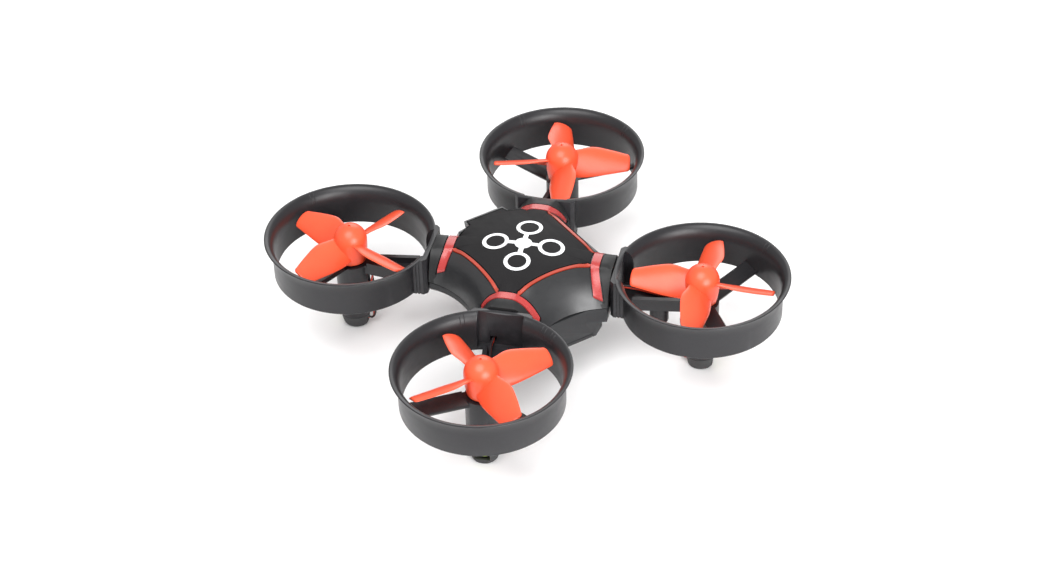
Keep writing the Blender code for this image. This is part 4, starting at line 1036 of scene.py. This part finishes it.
def build_wire(hand, side):
    """One of the two wires of a twisted pair along the lead's route."""
    route = lead_route(hand)
    points, travelled = [], 0.0
    for i, p in enumerate(route):
        ahead = route[min(i + 1, len(route) - 1)]
        behind = route[max(i - 1, 0)]
        travelled += (p - behind).length
        tangent = (ahead - behind).normalized()
        across = tangent.cross(Vector((0.0, 1.0, 0.0))).normalized()
        other = tangent.cross(across)
        turn = 2 * pi * min(1.0, travelled / PAIR_TWIST_LENGTH) * PAIR_TURNS + (pi if side else 0.0)
        points.append(p + (across * cos(turn) + other * sin(turn)) * PAIR_OFFSET)
    return tube(points, 0.23 * MM, 3)


def build_screw():
    low = BASE - 0.7 * MM
    head = [(1.25 * MM, low - 0.05 * MM), (1.25 * MM, low - 0.25 * MM)]
    head += [(1.25 * MM * cos(radians(a)), low - 0.25 * MM - 0.65 * MM * sin(radians(a)))
             for a in range(15, 90, 15)]
    pin = profile_mm(low, (0.0, 7.4), (0.55, 7.0), (0.55, -0.05))
    screw = turned(pin + head + [(0.0, low - 0.9 * MM)], 40, closed=False)
    bars = [box((-x, -y, low - 2 * MM), (x, y, low - 0.45 * MM)) for x, y in (mm(0.75, 0.14), mm(0.14, 0.75))]
    return combined(screw, *cuts(*bars))


def make_rotor_units():
    hands = (1, -1)
    ducts = {hand: finished(build_duct(hand), f"duct_master_{hand}", "duct_black") for hand in hands}
    rotors = {hand: finished(build_rotor(hand), f"rotor_master_{hand}", "prop_orange", 40) for hand in hands}
    wires = {(hand, side): finished(build_wire(hand, side), f"wire_master_{hand}_{side}", paint, 60)
             for hand in hands for side, paint in enumerate(("lead_red", "lead_dark"))}
    can = finished(build_motor_can(), "can_master", "steel")
    cap = finished(build_end_cap(), "cap_master", "cap_lime")
    foot = finished(build_foot(), "foot_master", "rubber")
    screw = finished(build_screw(), "screw_master", "steel")
    shaft = finished(cylinder(0.4 * MM, MOTOR_LOW + 2.0 * MM, HUB_DOME_Z + 1.5 * MM), "shaft_master", "steel")
    for arm, (direction, hand) in ARMS.items():
        here, rotor = arm_matrix(arm), f"rotor_{arm}"
        spun = Matrix.Translation(here.translation) @ turn_z(BLADE_ANGLES[arm])
        screwed = Matrix.Translation(on_arm(direction, SCREW_REACH, hand * SCREW_OFFSET))
        for stem, master, place, body, slot, node in (
                ("duct_ring", ducts[hand], here, "airframe", "duct_black", "duct"),
                ("propeller_blades", rotors[hand], spun, rotor, "prop_orange", "propeller"),
                ("shaft_pin", shaft, spun, rotor, "steel", "motor_shaft"),
                ("motor_body", can, here, "airframe", "steel", "motor_can"),
                ("motor_cap", cap, here, "airframe", "cap_lime", "motor_end_cap"),
                ("foot_cup", foot, here, "airframe", "rubber", "foot"),
                ("lead_first", wires[hand, 0], here, "airframe", "lead_red", "motor_lead"),
                ("lead_second", wires[hand, 1], here, "airframe", "lead_red", "motor_lead"),
                ("screw", screw, screwed, "airframe", "steel", "arm_screw")):
            install(copy_at(master, f"{stem}_{arm}", place), body, slot, f"{node}_{arm}")
    for master in [*ducts.values(), *rotors.values(), *wires.values(), can, cap, foot, screw, shaft]:
        bpy.data.objects.remove(master)


# ---- Deck mark
MARK_ARM, MARK_RING, MARK_STROKE, MARK_LIFT = mm(6.25, 2.5, 0.85, 0.05)


def laid_strip(left, right, name):
    """A flat strip of ink between two rows of plan points, laid on the deck."""
    bm = bmesh.new()
    rows = [[bm.verts.new((x, y, deck_z(x, y) + MARK_LIFT)) for x, y in row] for row in (left, right)]
    for i in range(len(left) - 1):
        bm.faces.new((rows[0][i], rows[0][i + 1], rows[1][i + 1], rows[1][i]))
    return object_of_bmesh(bm, name, recalculate=False)


def make_mark():
    """A plain pictogram: four rotor rings joined by a cross and a round hub."""
    strips = []
    for k in range(4):
        centre = tuple(on_arm(45 + 90 * k, MARK_ARM, 0.0)[:2])
        strips.append(laid_strip(arc(centre, MARK_RING + MARK_STROKE / 2, 0, 360, 65),
                                 arc(centre, MARK_RING - MARK_STROKE / 2, 0, 360, 65), f"ring_{k}"))
        inner, outer = 1.2 * MM, MARK_ARM - MARK_RING
        along = [inner + (outer - inner) * i / 6 for i in range(7)]
        half = MARK_STROKE * 0.62
        strips.append(laid_strip([tuple(on_arm(45 + 90 * k, d, half)[:2]) for d in along],
                                 [tuple(on_arm(45 + 90 * k, d, -half)[:2]) for d in along], f"spoke_{k}"))
    strips.append(laid_strip(arc((0, 0), 1.9 * MM, 0, 360, 65), arc((0, 0), 0.01 * MM, 0, 360, 65), "hub"))
    bm = bmesh.new()
    for strip in strips:
        bm.from_mesh(strip.data)
        bpy.data.objects.remove(strip)
    bmesh.ops.remove_doubles(bm, verts=bm.verts, dist=0.0005 * MM)
    for face in bm.faces:
        if face.normal.z < 0:
            face.normal_flip()
    mark = object_of_bmesh(bm, "deck_mark", recalculate=False)
    install(finished(mark, "deck_mark", "mark_white"), "airframe", "deck_matte")


# ---- CAD nodes that keep their shape
def paint_kept_nodes():
    slots = {s["node"]: s["material_slot"] for s in frame["record"]["subparts"]}
    for name, node in frame["nodes"].items():
        if node.hide_render:
            continue
        node.data.materials.clear()
        node.data.materials.append(MATERIALS[slots[name]])
        node.data.shade_smooth()
        node.data.set_sharp_from_angle(angle=radians(32))


# ---- Stage
def stage_material(name, tone):
    made = Paint(name, 0.9, specular=0.1)
    share = made.range(made.noise(60 * MM), 0.3, 0.7, 0, 1)
    made.color(made.mix(share, tuple(t * 0.985 for t in tone), tone))
    return made.material


def make_stage():
    bm = bmesh.new()
    bmesh.ops.create_grid(bm, x_segments=1, y_segments=1, size=6.0)
    floor = object_of_bmesh(bm, "floor")
    floor.data.materials.append(stage_material("floor_pale", (0.93, 0.93, 0.93)))
    world = bpy.data.worlds.new("studio")
    bpy.context.scene.world = world
    world.use_nodes = True
    world.node_tree.nodes["Background"].inputs["Color"].default_value = (1.0, 1.0, 1.0, 1.0)
    world.node_tree.nodes["Background"].inputs["Strength"].default_value = 0.62
    bpy.context.scene.view_settings.view_transform = "Standard"
    for name, place, aim, size, power in LIGHTS:
        light = bpy.data.lights.new(name, "AREA")
        light.shape = "DISK"
        light.size = size
        light.energy = power
        lamp = bpy.data.objects.new(name, light)
        bpy.context.scene.collection.objects.link(lamp)
        lamp.location = place
        lamp.rotation_euler = (Vector(aim) - Vector(place)).to_track_quat("-Z", "Y").to_euler()


LIGHTS = (
    ("key", (-0.20, -0.15, 0.55), (0.0, 0.0, 0.02), 0.50, 3.4),
    ("fill", (-0.05, -0.62, 0.20), (0.0, 0.0, 0.02), 0.46, 4.6),
    ("back", (0.35, 0.45, 0.35), (0.0, 0.0, 0.02), 0.45, 1.4),
)


# ---- Camera
CAMERA_AZIMUTH, CAMERA_ELEVATION, CAMERA_ROLL = -31.06, 37.641, -1.833
CAMERA_DISTANCE, CAMERA_LENS, CAMERA_SENSOR = 535.826 * MM, 82.93, 36.0
CAMERA_SLIDE = mm(0.272, 0.289)


def make_camera():
    az, el, roll = (radians(a) for a in (CAMERA_AZIMUTH, CAMERA_ELEVATION, CAMERA_ROLL))
    back = Vector((sin(az) * cos(el), -cos(az) * cos(el), sin(el)))
    level = Vector((0, 0, 1)).cross(back).normalized()
    upright = back.cross(level)
    right = cos(roll) * level + sin(roll) * upright
    up = -sin(roll) * level + cos(roll) * upright
    data = bpy.data.cameras.new("camera")
    data.sensor_width = CAMERA_SENSOR
    data.lens = CAMERA_LENS
    data.clip_start = 0.01
    camera = bpy.data.objects.new("camera", data)
    bpy.context.scene.collection.objects.link(camera)
    place = back * CAMERA_DISTANCE + right * CAMERA_SLIDE[0] + up * CAMERA_SLIDE[1] + Vector((0, 0, BASE))
    camera.matrix_world = Matrix.Translation(place) @ Matrix((right, up, back)).transposed().to_4x4()
    bpy.context.scene.camera = camera


make_canopy()
make_lower_shell()
make_hatch()
make_rotor_units()
make_ribs()
make_mark()
paint_kept_nodes()
make_stage()
make_camera()
